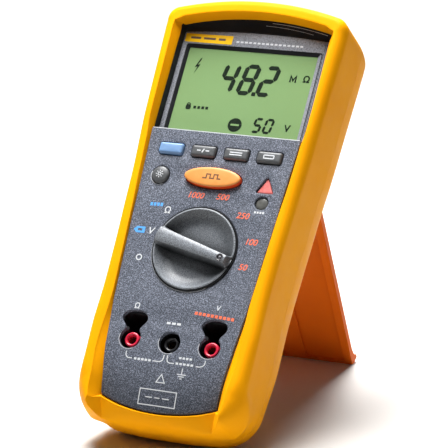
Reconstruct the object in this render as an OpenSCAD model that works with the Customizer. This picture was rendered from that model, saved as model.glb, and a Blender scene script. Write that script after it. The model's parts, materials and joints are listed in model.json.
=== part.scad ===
// Handheld insulation resistance tester leaning back on its tilt stand.
// Millimetres. The meter is drawn flat: x to the right, y up the body from its
// bottom edge, z out of the front panel (panel face at z = 0). place() stands it up.

/* [Stance] */
// How far the body leans back from upright, degrees
lean = 36; // [20:1:50]
// Opening angle of the tilt stand, measured from folded flat, degrees
stand_open = 67; // [55:1:75]
// Turn of the selector knob from its lowest range, degrees
knob_turn = 0; // [0:30:210]

/* [Body outline] */
// Half width of the body at the waist
waist_half = 40.2; // [38:0.1:44]
// Height of the waist above the bottom edge
waist_y = 72; // [60:1:85]
// Half width of the body at the shoulders
shoulder_half = 44.8; // [42:0.1:48]
// Height of the shoulder corner centres
shoulder_y = 190.1; // [185:0.1:195]
// Radius of the shoulder corners
shoulder_r = 9.5; // [8:0.1:12]
// Radius of the arched top edge
crown_r = 145; // [120:1:180]
// Height of the top of the arch
body_top = 204.3; // [200:0.1:208]
// Radius of the two bottom corners
foot_r = 18; // [15:0.5:20]
// Half distance between the bottom corner centres
foot_half = 21.6; // [18:0.1:24]
// Half width of the straight part of the bottom edge
flat_half = 9; // [6:0.5:12]

/* [Body depth] */
// Height of the raised side rails over the front panel
rail_rise = 2; // [1:0.1:3]
// Depth where the rounded back edge starts, below the panel
side_depth = 20; // [16:0.5:24]
// Depth of the rounded back edge
back_drop = 18.5; // [14:0.5:20]
// Inward reach of the rounded back edge
back_inset = 8; // [6:0.5:9]
// Depth of the parting line between the front and rear cases
part_depth = 24; // [22:0.5:26]
// Thickness of the case gasket
gasket_t = 0.4; // [0.3:0.1:0.8]
// Wall thickness of the yellow overmould
bumper_t = 3; // [2:0.1:4]
// Wall thickness of the grey front case
case_t = 1.8; // [1.4:0.1:2.4]

/* [Front panel] */
// Thickness of the panel deck
deck_t = 2.4; // [2:0.1:3]
// Step down from the panel face to the ledge under the rails
ledge = 1; // [0.8:0.1:1.5]
// Height of the step between the panel and the display recess
step_y = 137.6; // [134:0.1:140]
// Half width of the display recess
recess_half = 36.3; // [34:0.1:38]
// Depth of the display mask below the panel
mask_depth = 5.7; // [4:0.1:7]

/* [Display] */
// Half width of the display window
window_half = 31.3; // [28:0.1:33]
// Height of the top edge of the display window
window_top = 180.2; // [176:0.1:184]
// Height of the upper edge of the mask
mask_top = 188.7; // [186:0.1:190]
// Width of the black border round the window
border_w = 1.7; // [1:0.1:2.5]

/* [Keys] */
// Height of the row of four keys
key_row_y = 127.6; // [125:0.1:130]
// Spacing of the four keys
key_pitch = 15.95; // [15:0.05:17]
// Width of a key
key_w = 11.8; // [10:0.1:13]
// Height of a key
key_h = 5.4; // [4.5:0.1:6.5]
// Travel of every push button
key_travel = 0.9; // [0.5:0.1:1.2]
// Clearance round every push button
key_gap = 0.35; // [0.3:0.05:0.5]
// Centre height of the oval test button
test_y = 115.2; // [113:0.1:118]
// Half length of the oval test button
test_a = 13.6; // [12:0.1:15]
// Half height of the oval test button
test_b = 4.7; // [4:0.1:6]
// Position of the round light key, x
light_x = -25.8; // [-28:0.1:-23]
// Position of the round light key, y
light_y = 114.4; // [112:0.1:117]
// Radius of the round light key
light_r = 4.1; // [3.5:0.1:5]
// Position of the two indicator lenses, x
lamp_x = 25.5; // [23:0.1:28]
// Centre height of the triangular lens
warn_y = 114.2; // [112:0.1:116]
// Centre height of the round lens
pass_y = 106; // [104:0.1:108]

/* [Selector] */
// Height of the selector knob centre
knob_y = 81.1; // [78:0.1:84]
// Radius of the selector knob
knob_r = 19.25; // [18:0.05:20]
// Height of the knob rim over the panel
rim_z = 1.3; // [1:0.1:2]
// Height of the knob bar over the panel
bar_z = 4.4; // [4:0.1:6]
// Half width of the knob bar at its wide end
bar_wide = 3.4; // [3:0.1:4]
// Half width of the knob bar at its pointer end
bar_slim = 2.1; // [2:0.1:3]
// Depth of the finger bowls below the knob rim
bowl_depth = 5; // [4:0.1:5.5]
// Distance of the pointer mark from the knob centre
pointer_x = 15; // [12:0.1:16]
// Radius of the pointer mark
pointer_r = 1.5; // [1:0.1:1.8]
// Angle of the knob bar at the lowest range
bar_angle = -14.5; // [-30:0.5:0]
// Radius of the knob shaft
shaft_r = 5.05; // [4:0.05:6]

/* [Sockets] */
// Height of the three input sockets
jack_y = 37; // [34:0.1:40]
// Spacing of the three input sockets
jack_pitch = 19.05; // [19.05:0.05:20]
// Radius of the socket wells
well_r = 5; // [4.6:0.1:5.4]
// Outer radius of the socket posts
post_r = 3.4; // [3.1:0.1:3.7]
// Radius of the socket bore
bore_r = 2.03; // [2:0.01:2.1]
// Depth of the post tops below the panel
post_drop = 2.2; // [1.5:0.1:3]

/* [Stand] */
// Height of the stand pivot
pivot_y = 132.6; // [128:0.1:136]
// Half width of the stand at its pivot
stand_half = 32; // [29:0.1:33]
// Half width of the stand at its foot
stand_foot_half = 28.4; // [26:0.1:31]
// Thickness of the stand leaf
stand_t = 3; // [2.4:0.1:3.6]
// Radius of the stand pins
pin_r = 1.6; // [1.3:0.05:2]
// Height of the lip along the foot of the stand
lip_h = 3.1; // [2:0.1:4]

/* [Batteries] */
// Radius of a cell
cell_r = 7.1; // [7:0.05:7.25]
// Length of a cell
cell_len = 50; // [49:0.1:50.5]
// Spacing of the cells
cell_pitch = 14.9; // [14.6:0.1:15.2]
// Radius of the fuse
fuse_r = 5.15; // [5:0.05:5.2]
// Length of the fuse
fuse_len = 38; // [38:0.5:38]

/* [Hidden] */
$fn = 48;
puck_fn = 32;
tiny = 0.01;
back_z = -side_depth - back_drop;
part_z = -part_depth;
rear_z = part_z - gasket_t;
crown_cy = body_top - crown_r;
top_inset = 7.2;
low_inset = 4.6;
mask_z = -mask_depth;
mask_t = 1.2;
floor_t = 1.6;
pcb_z = -13;
pcb_t = 1.6;
leaf_z = back_z + stand_t;
recess_z = leaf_z + 0.4;
door_t = 1.6;
door_z = recess_z + door_t;
pivot_z = back_z + stand_t / 2;
cell_z = door_z + 0.3 + cell_r;
tray_z = cell_z + cell_r + 0.7;
bay_wall = 1.2;
bay_half = 30.6;
bay_y0 = 51.6;
bay_y1 = 126.4;
cell_y0 = 75.4;
fuse_y = 65.4;
rib_y = 74.8;
fuse_z = -28;
lock_x = 21;
lock_y = 56.1;
lock_reach = 4.1;
stem_r = 1.6;
dome_z = pcb_z + 1;
stem_z = dome_z + 0.3 + key_travel;
flange_top = -deck_t - key_gap;
flange_t = 1;
flange_grow = 1;
lens_r = 3.2;
lens_fit = 0.05;
lens_back = -3.2;
tube_r = 2.6;
tube_z = part_z - 0.8;
strip_t = 0.8;
strip_half = 1.5;
riser_y = bay_y0 - bay_wall + 0.1;
door_y0 = 50.2;
door_y1 = 127.6;
door_half = 31.5;
screw_xy = [[-27, 187.5], [27, 187.5], [-22, 23.5], [22, 23.5]];
// Angle on the rounded back edge where the body stands on the table
rest_t = atan(back_drop / back_inset * tan(lean));
rest_step = 9;
rest_y = back_inset * (1 - cos(rest_t) * cos(rest_step));
rest_z = -side_depth - back_drop * sin(rest_t) * cos(rest_step);
ground = rest_y * cos(lean) + rest_z * sin(lean);
stand_slope = stand_open - lean;
pivot_h = pivot_y * cos(lean) + pivot_z * sin(lean);
leaf_len = (pivot_h - stand_t / 2 * sin(stand_slope) - ground) / cos(stand_slope);
sole = 1.8;
leaf_end = pivot_y - leaf_len - sole * sin(stand_slope);
// Shift that puts the middle of the footprint over the origin
shift_y = -88.14;

function arc(cx, cy, r, a0, a1, n) =
    [for (i = [0:n]) let (a = a0 + (a1 - a0) * i / n) [cx + r * cos(a), cy + r * sin(a)]];

function mirrored(p) = concat(p, [for (i = [len(p) - 1:-1:0]) [-p[i][0], p[i][1]]]);

function round_rect(w, h, r) =
    concat(arc(w / 2 - r, h / 2 - r, r, 0, 90, 4), arc(-w / 2 + r, h / 2 - r, r, 90, 180, 4),
           arc(-w / 2 + r, -h / 2 + r, r, 180, 270, 4),
           arc(w / 2 - r, -h / 2 + r, r, 270, 360, 4));

function oval(a, b) = [for (i = [0:47]) [a * cos(i * 7.5), b * sin(i * 7.5)]];

// Body outline pulled in by its own amount at the sides, the top and the bottom
function body_outline(side, top, low) = mirrored(concat(
    [[flat_half, low]],
    arc(foot_half, foot_r + 1.6 + low - side, foot_r - side, 275, 360, 8),
    [[waist_half - side, waist_y]],
    arc(shoulder_half - shoulder_r, shoulder_y - top + side, shoulder_r - side, 5, 75, 6),
    arc(0, crown_cy, crown_r - top, 77, 89, 5)));

// Outline of the display recess, grown by some amount at the sides
function recess_outline(grow) = mirrored(concat(
    [[recess_half + grow, step_y], [recess_half + grow, 191.6]],
    arc(0, crown_cy, crown_r - top_inset, 76, 89, 6)));

// Visible outline of the grey control panel
function panel_outline() = mirrored(concat(
    arc(0, 96, 91, 271, 287, 6),
    [[28.3, 11], [32.3, 55], [33.6, 85], [recess_half, 133.5], [recess_half, step_y]]));

// Cut-out over an outer socket: a rounded cap on a short neck
function port_outline() = mirrored(concat(
    [[2.6, 0], [2.7, 5.4]], arc(4.4, 7.6, 1.5, -75, 20, 4), arc(3.4, 9.6, 2.5, 10, 90, 5)));

// Half section of a rounded corner, from the front face down to the parting line
function front_section(r, fx, fz) = concat(
    [[0, part_z], [r - back_edge(12.5), part_z], [r, -side_depth]],
    [for (i = [0:3]) let (a = i * 30)
        [r - fx + fx * cos(a), rail_rise - fz + fz * sin(a)]],
    [[0, rail_rise]]);

// Half section of a rounded corner, from the parting line down to the back face
function rear_section(r) = concat(
    [[0, rear_z]],
    [for (t = [13.8, 26, 38, rest_t - rest_step, rest_t + rest_step, 80, 90])
        [r - back_edge(t), -side_depth - back_drop * sin(t)]],
    [[0, back_z]]);

function back_edge(t) = back_inset * (1 - cos(t));

module place() {
    translate([0, shift_y, -ground]) rotate([90 - lean, 0, 0]) children();
}

module slab(points, z0, z1) {
    translate([0, 0, z0]) linear_extrude(height = z1 - z0) polygon(points);
}

module box(x0, x1, y0, y1, z0, z1) {
    translate([x0, y0, z0]) cube([x1 - x0, y1 - y0, z1 - z0]);
}

module rod(x, y, z0, z1, r) {
    translate([x, y, z0]) cylinder(r = r, h = z1 - z0);
}

module each_side() {
    children();
    mirror([1, 0, 0]) children();
}

module front_corner(x, y, r, fx, fz) {
    translate([x, y, 0]) rotate_extrude($fn = puck_fn) polygon(front_section(r, fx, fz));
}

module rear_corner(x, y, r) {
    translate([x, y, 0]) rotate_extrude($fn = puck_fn) polygon(rear_section(r));
}

module front_block() {
    // Lower half, from the bottom edge to the waist
    hull() each_side() {
        front_corner(flat_half, foot_r, foot_r, 9, 5);
        front_corner(foot_half, foot_r + 1.6, foot_r, 8, 5);
        front_corner(waist_half - foot_r, waist_y, foot_r, 3, 3);
    }
    // Upper half, from the waist to the arched top
    hull() each_side() {
        front_corner(waist_half - foot_r, waist_y, foot_r, 3, 3);
        front_corner(shoulder_half - shoulder_r, shoulder_y, shoulder_r, 3, 3);
        for (x = [24, 12, 0])
            front_corner(x, crown_cy + sqrt(crown_r * crown_r - x * x) - shoulder_r,
                         shoulder_r, 3, 3);
    }
}

module rear_block() {
    hull() each_side() {
        rear_corner(flat_half, foot_r, foot_r);
        rear_corner(foot_half, foot_r + 1.6, foot_r);
        rear_corner(waist_half - foot_r, waist_y, foot_r);
    }
    hull() each_side() {
        rear_corner(waist_half - foot_r, waist_y, foot_r);
        rear_corner(shoulder_half - shoulder_r, shoulder_y, shoulder_r);
        for (x = [24, 12, 0])
            rear_corner(x, crown_cy + sqrt(crown_r * crown_r - x * x) - shoulder_r,
                        shoulder_r);
    }
}

// Wedge taken off the chin below the panel, leaving the ends of the rails standing
module chin_cut() {
    intersection() {
        translate([-30, 0, 0]) rotate([90, 0, 90]) linear_extrude(height = 60)
            polygon([[-2, -8.6], [0, -5.6], [2, -2.9], [4, -0.6], [5.2, 0.5], [13, 0.5],
                     [13, 4], [-2, 4]]);
        slab([[-28.6, 13], [-24.6, -2], [24.6, -2], [28.6, 13]], -10, 5);
    }
}

module overmould() place() color("gold") difference() {
    front_block();
    slab(body_outline(bumper_t, top_inset, low_inset), part_z - 1, -ledge);
    slab(panel_outline(), -ledge - tiny, rail_rise + 1);
    slab(recess_outline(0), mask_z - floor_t, rail_rise + 1);
    slab(recess_outline(1), mask_z - floor_t, 0);
    chin_cut();
}

module front_case() place() color("dimgray") difference() {
    union() {
        // Skirt
        difference() {
            slab(body_outline(bumper_t, top_inset, low_inset), part_z, -ledge);
            slab(body_outline(bumper_t + case_t, top_inset + case_t, low_inset + case_t),
                 part_z - 1, -deck_t);
        }
        // Raised panel and the step wall above the keys
        slab(panel_outline(), -ledge - tiny, 0);
        box(-39, 39, step_y - 1.6, step_y, mask_z - floor_t, -deck_t + tiny);
        for (p = screw_xy) rod(p[0], p[1], part_z - gasket_t, -deck_t + tiny, 3.2);
        // Webs that carry the two upper pillars behind the display
        each_side() box(screw_xy[1][0], shoulder_half - bumper_t - 1, screw_xy[1][1] - 0.8,
                        screw_xy[1][1] + 0.8, -22, -10);
    }
    box(-recess_half - 1, recess_half + 1, step_y, 199, mask_z - floor_t, 1);
    // Push button and lamp openings
    for (i = [-1.5:1:1.5]) translate([i * key_pitch, key_row_y, 0])
        slab(round_rect(key_w + 2 * key_gap, key_h + 2 * key_gap, 1.3), -4, 1);
    translate([0, test_y, 0]) slab(oval(test_a + key_gap, test_b + key_gap), -4, 1);
    rod(light_x, light_y, -4, 1, light_r + key_gap);
    rod(lamp_x, pass_y, -4, 1, lens_r);
    translate([lamp_x, warn_y, 0]) slab([[-4.6, -3.6], [4.6, -3.6], [0, 4.8]], -4, 1);
    // Selector, sockets and probe ports
    rod(0, knob_y, -4, 1, 20.3);
    for (i = [-1:1]) rod(i * jack_pitch, jack_y, -4, 1, well_r);
    for (i = [-1, 1]) translate([i * jack_pitch, jack_y, 0]) slab(port_outline(), -4, 1);
    for (p = screw_xy) rod(p[0], p[1], part_z - 1, -10, 1.5);
}

module display_surround() place() color("black") {
    each_side() box(recess_half, recess_half + 1, step_y, 191.6, mask_z - floor_t, 0);
    difference() {
        slab(recess_outline(0), mask_z - floor_t, mask_z);
        box(-40, 40, step_y - 1, mask_top + 0.1, mask_z - 3, 0);
    }
}

module display_mask() place() color("gray") difference() {
    box(-recess_half, recess_half, step_y, mask_top, mask_z - mask_t, mask_z);
    box(-window_half - border_w, window_half + border_w, step_y + 1,
        window_top + border_w + 0.6, mask_z - 2, 1);
}

module window_border() place() color("black") difference() {
    box(-window_half - border_w, window_half + border_w, step_y + 1,
        window_top + border_w + 0.6, mask_z - mask_t, mask_z - 0.2);
    box(-window_half, window_half, step_y + 2.2, window_top, mask_z - 2, 1);
}

module display_lens() place() color("lightcyan", 0.4)
    box(-window_half, window_half, step_y + 2.2, window_top, mask_z - mask_t, mask_z - 0.6);

module lcd_cell() place() color("yellowgreen")
    box(-33.6, 33.6, 138.2, 183.6, mask_z - 3.8, mask_z - mask_t - 0.2);

module lcd_backlight() place() color("white")
    box(-33, 33, 142, 179.4, mask_z - 6.2, mask_z - 3.8);

module contact_strips() place() color("darkslategray")
    for (y = [138.8, 180.8]) box(-30, 30, y, y + 2, pcb_z, mask_z - 3.8);

module keypad_mat() place() color("slategray") {
    slab([[-33, 104.5], [18.6, 104.5], [18.6, 121.5], [33, 121.5], [33, 133.8],
          [-33, 133.8]], pcb_z, pcb_z + 0.6);
    for (i = [-1.5:1:1.5]) rod(i * key_pitch, key_row_y, pcb_z + 0.6 - tiny, dome_z, 2.6);
    rod(0, test_y, pcb_z + 0.6 - tiny, dome_z, 3);
    rod(light_x, light_y, pcb_z + 0.6 - tiny, dome_z, 2.6);
}

// Stem under a push button
module stem(x, y, r) rod(x, y, stem_z, flange_top - flange_t / 2, r);

// Retaining flange under a push button
module flange(points) slab(points, flange_top - flange_t, flange_top);

module key_cap(i) {
    translate([i * key_pitch, key_row_y, 0]) {
        slab(round_rect(key_w, key_h, 1.1), -3.2, 0.9);
        slab(round_rect(key_w - 0.8, key_h - 0.8, 0.9), 0.9 - tiny, 1.3);
        flange(round_rect(key_w + 2 * flange_grow, key_h + 2 * flange_grow, 1.5));
    }
    stem(i * key_pitch, key_row_y, stem_r);
}

module key_1() place() color("cornflowerblue") key_cap(-1.5);

module key_2() place() color("dimgray") key_cap(-0.5);

module key_3() place() color("dimgray") key_cap(0.5);

module key_4() place() color("dimgray") key_cap(1.5);

module light_key() place() color("dimgray") {
    rod(light_x, light_y, -3.2, 0.6, light_r);
    translate([light_x, light_y, 0.6 - tiny]) intersection() {
        translate([0, 0, -5.6]) sphere(r = 7);
        cylinder(r = light_r, h = 3);
    }
    rod(light_x, light_y, flange_top - flange_t, flange_top, light_r + flange_grow);
    stem(light_x, light_y, stem_r);
}

module test_button() place() color("darkorange") {
    translate([0, test_y, 0]) {
        slab(oval(test_a, test_b), -3.2, 1.9);
        slab(oval(test_a - 0.5, test_b - 0.5), 1.9 - tiny, 2.3);
        flange(oval(test_a + flange_grow, test_b + flange_grow));
    }
    stem(0, test_y, 2);
}

module dial_ring() place() color("black") difference() {
    union() {
        rod(0, knob_y, -7, 0.9, 20.3);
        rod(0, knob_y, -deck_t - 1, -deck_t, 22);
    }
    rod(0, knob_y, -6, 2, knob_r + 0.35);
    rod(0, knob_y, -8, 2, shaft_r + 0.05);
}

// Round body of the knob with its two finger bowls, as a half section
function bowl_section() = concat(
    [[0, -5.6], [knob_r, -5.6], [knob_r, rim_z - 0.6], [knob_r - 0.6, rim_z],
     [knob_r - 1.3, rim_z]],
    [for (i = [1:6]) let (a = i * 15)
        [knob_r - 1.3 - 9 * sin(a), rim_z - (bowl_depth - 0.3) * (1 - cos(a))]],
    [[0, rim_z - bowl_depth]]);

module selector_knob() place() color("dimgray")
    translate([0, knob_y, 0]) rotate([0, 0, bar_angle + knob_turn]) difference() {
        union() {
            rotate_extrude() polygon(bowl_section());
            intersection() {
                cylinder(r = knob_r - 0.4, h = 30, center = true);
                slab([[-20, -bar_wide], [20, -bar_slim], [20, bar_slim],
                      [-20, bar_wide]], -4.2, bar_z);
                rotate([90, 0, 0]) slab([[-20, -4.3], [20, -4.3], [20, bar_z - 2.8],
                                         [17.6, bar_z], [-18.6, bar_z - 1.1],
                                         [-20, bar_z - 1.8]], -6, 6);
            }
            translate([0, 0, -12.2]) cylinder(r = shaft_r, h = 8);
        }
        translate([pointer_x, 0, bar_z - 1.4]) cylinder(r = pointer_r, h = 6);
    }

module pointer_mark() place() color("gray")
    translate([0, knob_y, 0]) rotate([0, 0, bar_angle + knob_turn])
        translate([pointer_x, 0, bar_z - 1.4]) cylinder(r = pointer_r, h = 1.2);

module knob_rotor() place() color("ivory") difference() {
    rod(0, knob_y, -12, -10.4, 15);
    rod(0, knob_y, -13, -10, shaft_r + 0.02);
}

module wiper_contacts() place() color("goldenrod")
    translate([0, knob_y, 0]) rotate([0, 0, bar_angle + knob_turn]) for (a = [0, 120, 240])
        rotate([0, 0, a]) box(7.5, 14, -1.2, 1.2, -12.4, -12);

module detent_spring() place() color("silver") {
    difference() {
        rod(0, knob_y, -7.4, -7, 15.5);
        rod(0, knob_y, -8, -6, 12.5);
    }
    for (a = [60, 240]) translate([14 * cos(a), knob_y + 14 * sin(a), -10])
        cylinder(r = 1.2, h = 2.7);
}

module warning_lens() place() color("crimson") translate([lamp_x, warn_y, 0]) {
    slab([[-3.9, -3.3], [3.9, -3.3], [0, 3.9]], lens_back, -0.8);
    slab([[-5.4, -4.2], [5.4, -4.2], [0, 5.8]], lens_back, -deck_t - lens_fit);
}

module pass_lens() place() color("gray") {
    rod(lamp_x, pass_y, lens_back, -0.6, lens_r - lens_fit);
    rod(lamp_x, pass_y, lens_back, -deck_t - lens_fit, lens_r + 0.5);
}

module jack_block() place() color("black") difference() {
    box(-27.5, 27.5, 29.6, 50.2, part_z + 0.4, -deck_t);
    for (i = [-1:1]) rod(i * jack_pitch, jack_y, -21, 0, well_r);
    for (i = [-1:1]) rod(i * jack_pitch, jack_y, -26, 0, tube_r + 0.03);
    for (i = [-1, 1]) translate([i * jack_pitch, jack_y, 0]) slab(port_outline(), -19, 0);
    for (i = [-1, 1]) box(i * 9.5 - 2.5, i * 9.5 + 2.5, 43, 51, -25, -deck_t - 1.6);
}

module post(i) difference() {
    rod(i * jack_pitch, jack_y, -21, -post_drop, post_r);
    rod(i * jack_pitch, jack_y, -22, 0, bore_r);
    rod(i * jack_pitch, jack_y, -22, -post_drop - 2.4, tube_r);
}

module socket_posts_outer() place() color("crimson") for (i = [-1, 1]) post(i);

module socket_post_middle() place() color("black") post(0);

module socket_tubes() place() color("goldenrod") for (i = [-1:1]) {
    difference() {
        rod(i * jack_pitch, jack_y, tube_z, -post_drop - 2.4, tube_r);
        rod(i * jack_pitch, jack_y, part_z, 0, bore_r);
    }
    // Strip under the socket block and its riser to the board
    translate([i * jack_pitch, 0, 0]) {
        box(-strip_half, strip_half, jack_y + 1, riser_y + strip_t, tube_z, tube_z + strip_t);
        box(-strip_half, strip_half, riser_y, riser_y + strip_t, tube_z, pcb_z - pcb_t);
    }
}

module port_contacts() place() color("gold") for (i = [-1, 1]) for (dx = [-2.6, 0, 2.6])
    rod(i * jack_pitch + dx, jack_y + 9.2, -19, -14.5, 0.5);

module main_board() place() color("darkgreen") difference() {
    box(-33.4, 33.4, bay_y0 - bay_wall, 184, pcb_z - pcb_t, pcb_z);
    rod(0, knob_y, pcb_z - 3, pcb_z + 1, 2);
}

module indicator_lamps() place() color("white") {
    rod(lamp_x, pass_y, pcb_z, -5, 2);
    rod(lamp_x, warn_y, pcb_z, -5, 2);
}

module converter() place() color("darkkhaki") {
    box(-30, -16, 136, 150, -22, pcb_z - pcb_t);
    box(-29, -17, 134.4, 151.6, -20, -17);
}

module relays() place() color("whitesmoke") for (x = [-6, 8])
    box(x, x + 10, 136, 151, -24, pcb_z - pcb_t);

module sounder() place() color("black") difference() {
    rod(22, 162, -21, pcb_z - pcb_t, 7);
    rod(22, 162, -22, -20, 1.2);
}

module fuse() place() color("beige")
    translate([-fuse_len / 2, fuse_y, fuse_z]) rotate([0, 90, 0])
        cylinder(r = fuse_r, h = fuse_len);

module fuse_clips() place() color("silver") for (x = [-15.4, 15.4]) {
    box(x - 2.5, x + 2.5, fuse_y - 6, fuse_y - fuse_r, fuse_z - 3, tray_z);
    box(x - 2.5, x + 2.5, fuse_y + fuse_r, fuse_y + 6, fuse_z - 3, tray_z);
    box(x - 2.5, x + 2.5, fuse_y - 6, fuse_y + 6, tray_z - 0.6, tray_z);
}

module cells() place() for (i = [-1.5:1:1.5])
    translate([i * cell_pitch, cell_y0, cell_z]) rotate([-90, 0, 0]) {
        color("dimgray") cylinder(r = cell_r, h = cell_len - 1.2);
        color("silver") cylinder(r = 2.6, h = cell_len);
    }

module cell_contacts() place() color("silver") for (i = [-1.5:1:1.5]) {
    box(i * cell_pitch - 4.5, i * cell_pitch + 4.5, cell_y0 + cell_len, bay_y1,
        cell_z - 5, cell_z + 5);
    box(i * cell_pitch - 4.5, i * cell_pitch + 4.5, rib_y, cell_y0, cell_z - 5, cell_z + 5);
}

module case_gasket() place() color("black") difference() {
    slab(body_outline(bumper_t + 0.2, top_inset + 0.2, low_inset + 0.2), rear_z, part_z);
    slab(body_outline(bumper_t + case_t, top_inset + case_t, low_inset + case_t),
         rear_z - 1, part_z + 1);
}

module rear_case() place() color("gold") difference() {
    union() {
        difference() {
            rear_block();
            slab(body_outline(5, top_inset + 2, 7), -33, rear_z + 1);
        }
        // Walls round the battery and fuse bay
        box(-bay_half - bay_wall, bay_half + bay_wall, bay_y0 - bay_wall, bay_y1 + bay_wall,
            -34, tray_z + bay_wall);
        // Screw pillars
        for (p = screw_xy) rod(p[0], p[1], -34, rear_z, 4.6);
    }
    // Bay for the cells and the fuse
    box(-bay_half, bay_half, rib_y, bay_y1, door_z - 2, tray_z);
    box(-bay_half, bay_half, bay_y0, rib_y - bay_wall, door_z - 2, tray_z);
    box(-bay_half, bay_half, bay_y0, bay_y1, recess_z - 1, -32);
    // Slots for the risers of the socket strips
    for (i = [-1:1]) box(i * jack_pitch - 2, i * jack_pitch + 2, bay_y0 - bay_wall - 1,
                         bay_y0 + 0.1, tube_z - 0.6, -10);
    // Recess for the folded stand and seat of the door
    slab([[-33.4, pivot_y + 2], [-33.4, 50], [-29.6, leaf_end - 0.8],
          [29.6, leaf_end - 0.8], [33.4, 50], [33.4, pivot_y + 2]], back_z - 2, recess_z);
    box(-door_half - 0.3, door_half + 0.3, door_y0 - 0.3, door_y1 + 0.3, recess_z - 1, door_z);
    // Pivot holes
    translate([-35.8, pivot_y, pivot_z]) rotate([0, 90, 0])
        cylinder(r = pin_r + 0.06, h = 71.6);
    // Screw holes
    for (p = screw_xy) rod(p[0], p[1], -40, rear_z + 1, 1.7);
    for (p = screw_xy) rod(p[0], p[1], -40, -31, 3.3);
}

module case_screws() place() color("silver") for (p = screw_xy) difference() {
    union() {
        rod(p[0], p[1], -33.2, -31, 2.9);
        rod(p[0], p[1], -31.1, -11, 1.5);
    }
    box(p[0] - 2.2, p[0] + 2.2, p[1] - 0.4, p[1] + 0.4, -34, -32.2);
    box(p[0] - 0.4, p[0] + 0.4, p[1] - 2.2, p[1] + 2.2, -34, -32.2);
}

module battery_door() place() color("dimgray") difference() {
    union() {
        box(-door_half, door_half, door_y0, door_y1, recess_z, door_z);
        for (x = [-8, 0, 8]) box(x - 0.7, x + 0.7, 78, 122, door_z - tiny, door_z + 0.2);
    }
    for (x = [-lock_x, lock_x]) rod(x, lock_y, -40, -30, 3.05);
}

module door_lock(x) difference() {
    union() {
        rod(x, lock_y, recess_z, -31, 3);
        translate([x, lock_y, -31.6]) intersection() {
            cylinder(r = lock_reach, h = 1.4);
            box(-5, 5, -1.6, 1.6, -1, 3);
        }
    }
    box(x - 2.4, x + 2.4, lock_y - 0.5, lock_y + 0.5, -38, recess_z + 1);
}

module door_lock_left() place() color("silver") door_lock(-lock_x);

module door_lock_right() place() color("silver") door_lock(lock_x);

// Side profile of the leaf: distance from the pivot, and height off its middle plane
function leaf_profile() = concat(
    arc(0, 0, stand_t / 2, 90, 270, 8),
    [[leaf_len, -stand_t / 2],
     [leaf_len + sole * sin(stand_slope), -stand_t / 2 + sole * cos(stand_slope)],
     [leaf_len + sole * sin(stand_slope), stand_t / 2 + lip_h],
     [leaf_len - 1, stand_t / 2 + lip_h]],
    [for (i = [0:5]) let (a = 270 - i * 12)
        [leaf_len - 10 + 9 * cos(i * 18), stand_t / 2 + lip_h * (1 - sin(i * 18))]]);

module leaf() difference() {
    intersection() {
        translate([-40, 0, 0]) rotate([90, 0, 90]) linear_extrude(height = 80)
            polygon([for (p = leaf_profile()) [-p[0], -p[1]]]);
        slab([[-stand_half, 4], [stand_half, 4], [stand_half, -2],
              [stand_foot_half, -leaf_len - 2], [-stand_foot_half, -leaf_len - 2],
              [-stand_half, -2]], -12, 6);
    }
    // Shallow panels either side of the middle rib
    each_side() slab([[4.6, -8], [27.6, -8], [24.4, -leaf_len + 2.2], [4.6, -leaf_len + 2.2]],
                     stand_t / 2 - 0.6, stand_t);
}

module tilt_stand() place() color("gold")
    translate([0, pivot_y, pivot_z]) rotate([stand_open, 0, 0]) {
        leaf();
        translate([-35.4, 0, 0]) rotate([0, 90, 0]) cylinder(r = pin_r, h = 5);
        translate([30.4, 0, 0]) rotate([0, 90, 0]) cylinder(r = pin_r, h = 5);
    }

overmould();
front_case();
display_surround();
display_mask();
window_border();
display_lens();
lcd_cell();
lcd_backlight();
contact_strips();
keypad_mat();
key_1();
key_2();
key_3();
key_4();
light_key();
test_button();
dial_ring();
selector_knob();
pointer_mark();
knob_rotor();
wiper_contacts();
detent_spring();
warning_lens();
pass_lens();
jack_block();
socket_posts_outer();
socket_post_middle();
socket_tubes();
port_contacts();
main_board();
indicator_lamps();
converter();
relays();
sounder();
fuse();
fuse_clips();
cells();
cell_contacts();
case_gasket();
rear_case();
case_screws();
battery_door();
door_lock_left();
door_lock_right();
tilt_stand();
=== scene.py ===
import bpy
import bmesh
import json
import math
from contextlib import contextmanager
from math import sin, cos, pi, radians, sqrt
from mathutils import Matrix, Vector


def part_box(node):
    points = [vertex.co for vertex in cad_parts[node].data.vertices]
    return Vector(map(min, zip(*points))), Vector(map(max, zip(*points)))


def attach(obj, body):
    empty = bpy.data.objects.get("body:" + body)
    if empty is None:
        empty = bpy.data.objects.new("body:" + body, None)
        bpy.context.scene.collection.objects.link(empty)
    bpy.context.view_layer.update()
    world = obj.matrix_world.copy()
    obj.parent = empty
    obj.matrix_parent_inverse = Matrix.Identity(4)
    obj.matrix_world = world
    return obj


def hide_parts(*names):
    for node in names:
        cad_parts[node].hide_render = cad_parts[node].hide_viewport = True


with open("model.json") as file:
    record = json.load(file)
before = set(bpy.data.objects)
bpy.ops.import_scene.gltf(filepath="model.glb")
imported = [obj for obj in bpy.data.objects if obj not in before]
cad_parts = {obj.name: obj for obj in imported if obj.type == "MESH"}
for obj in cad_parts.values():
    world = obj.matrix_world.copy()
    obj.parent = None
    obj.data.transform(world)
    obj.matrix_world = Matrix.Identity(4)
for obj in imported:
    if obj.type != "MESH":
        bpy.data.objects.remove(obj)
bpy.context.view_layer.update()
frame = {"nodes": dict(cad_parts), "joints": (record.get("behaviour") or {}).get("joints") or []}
JOINT = {j["name"]: j for j in frame["joints"]}

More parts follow.
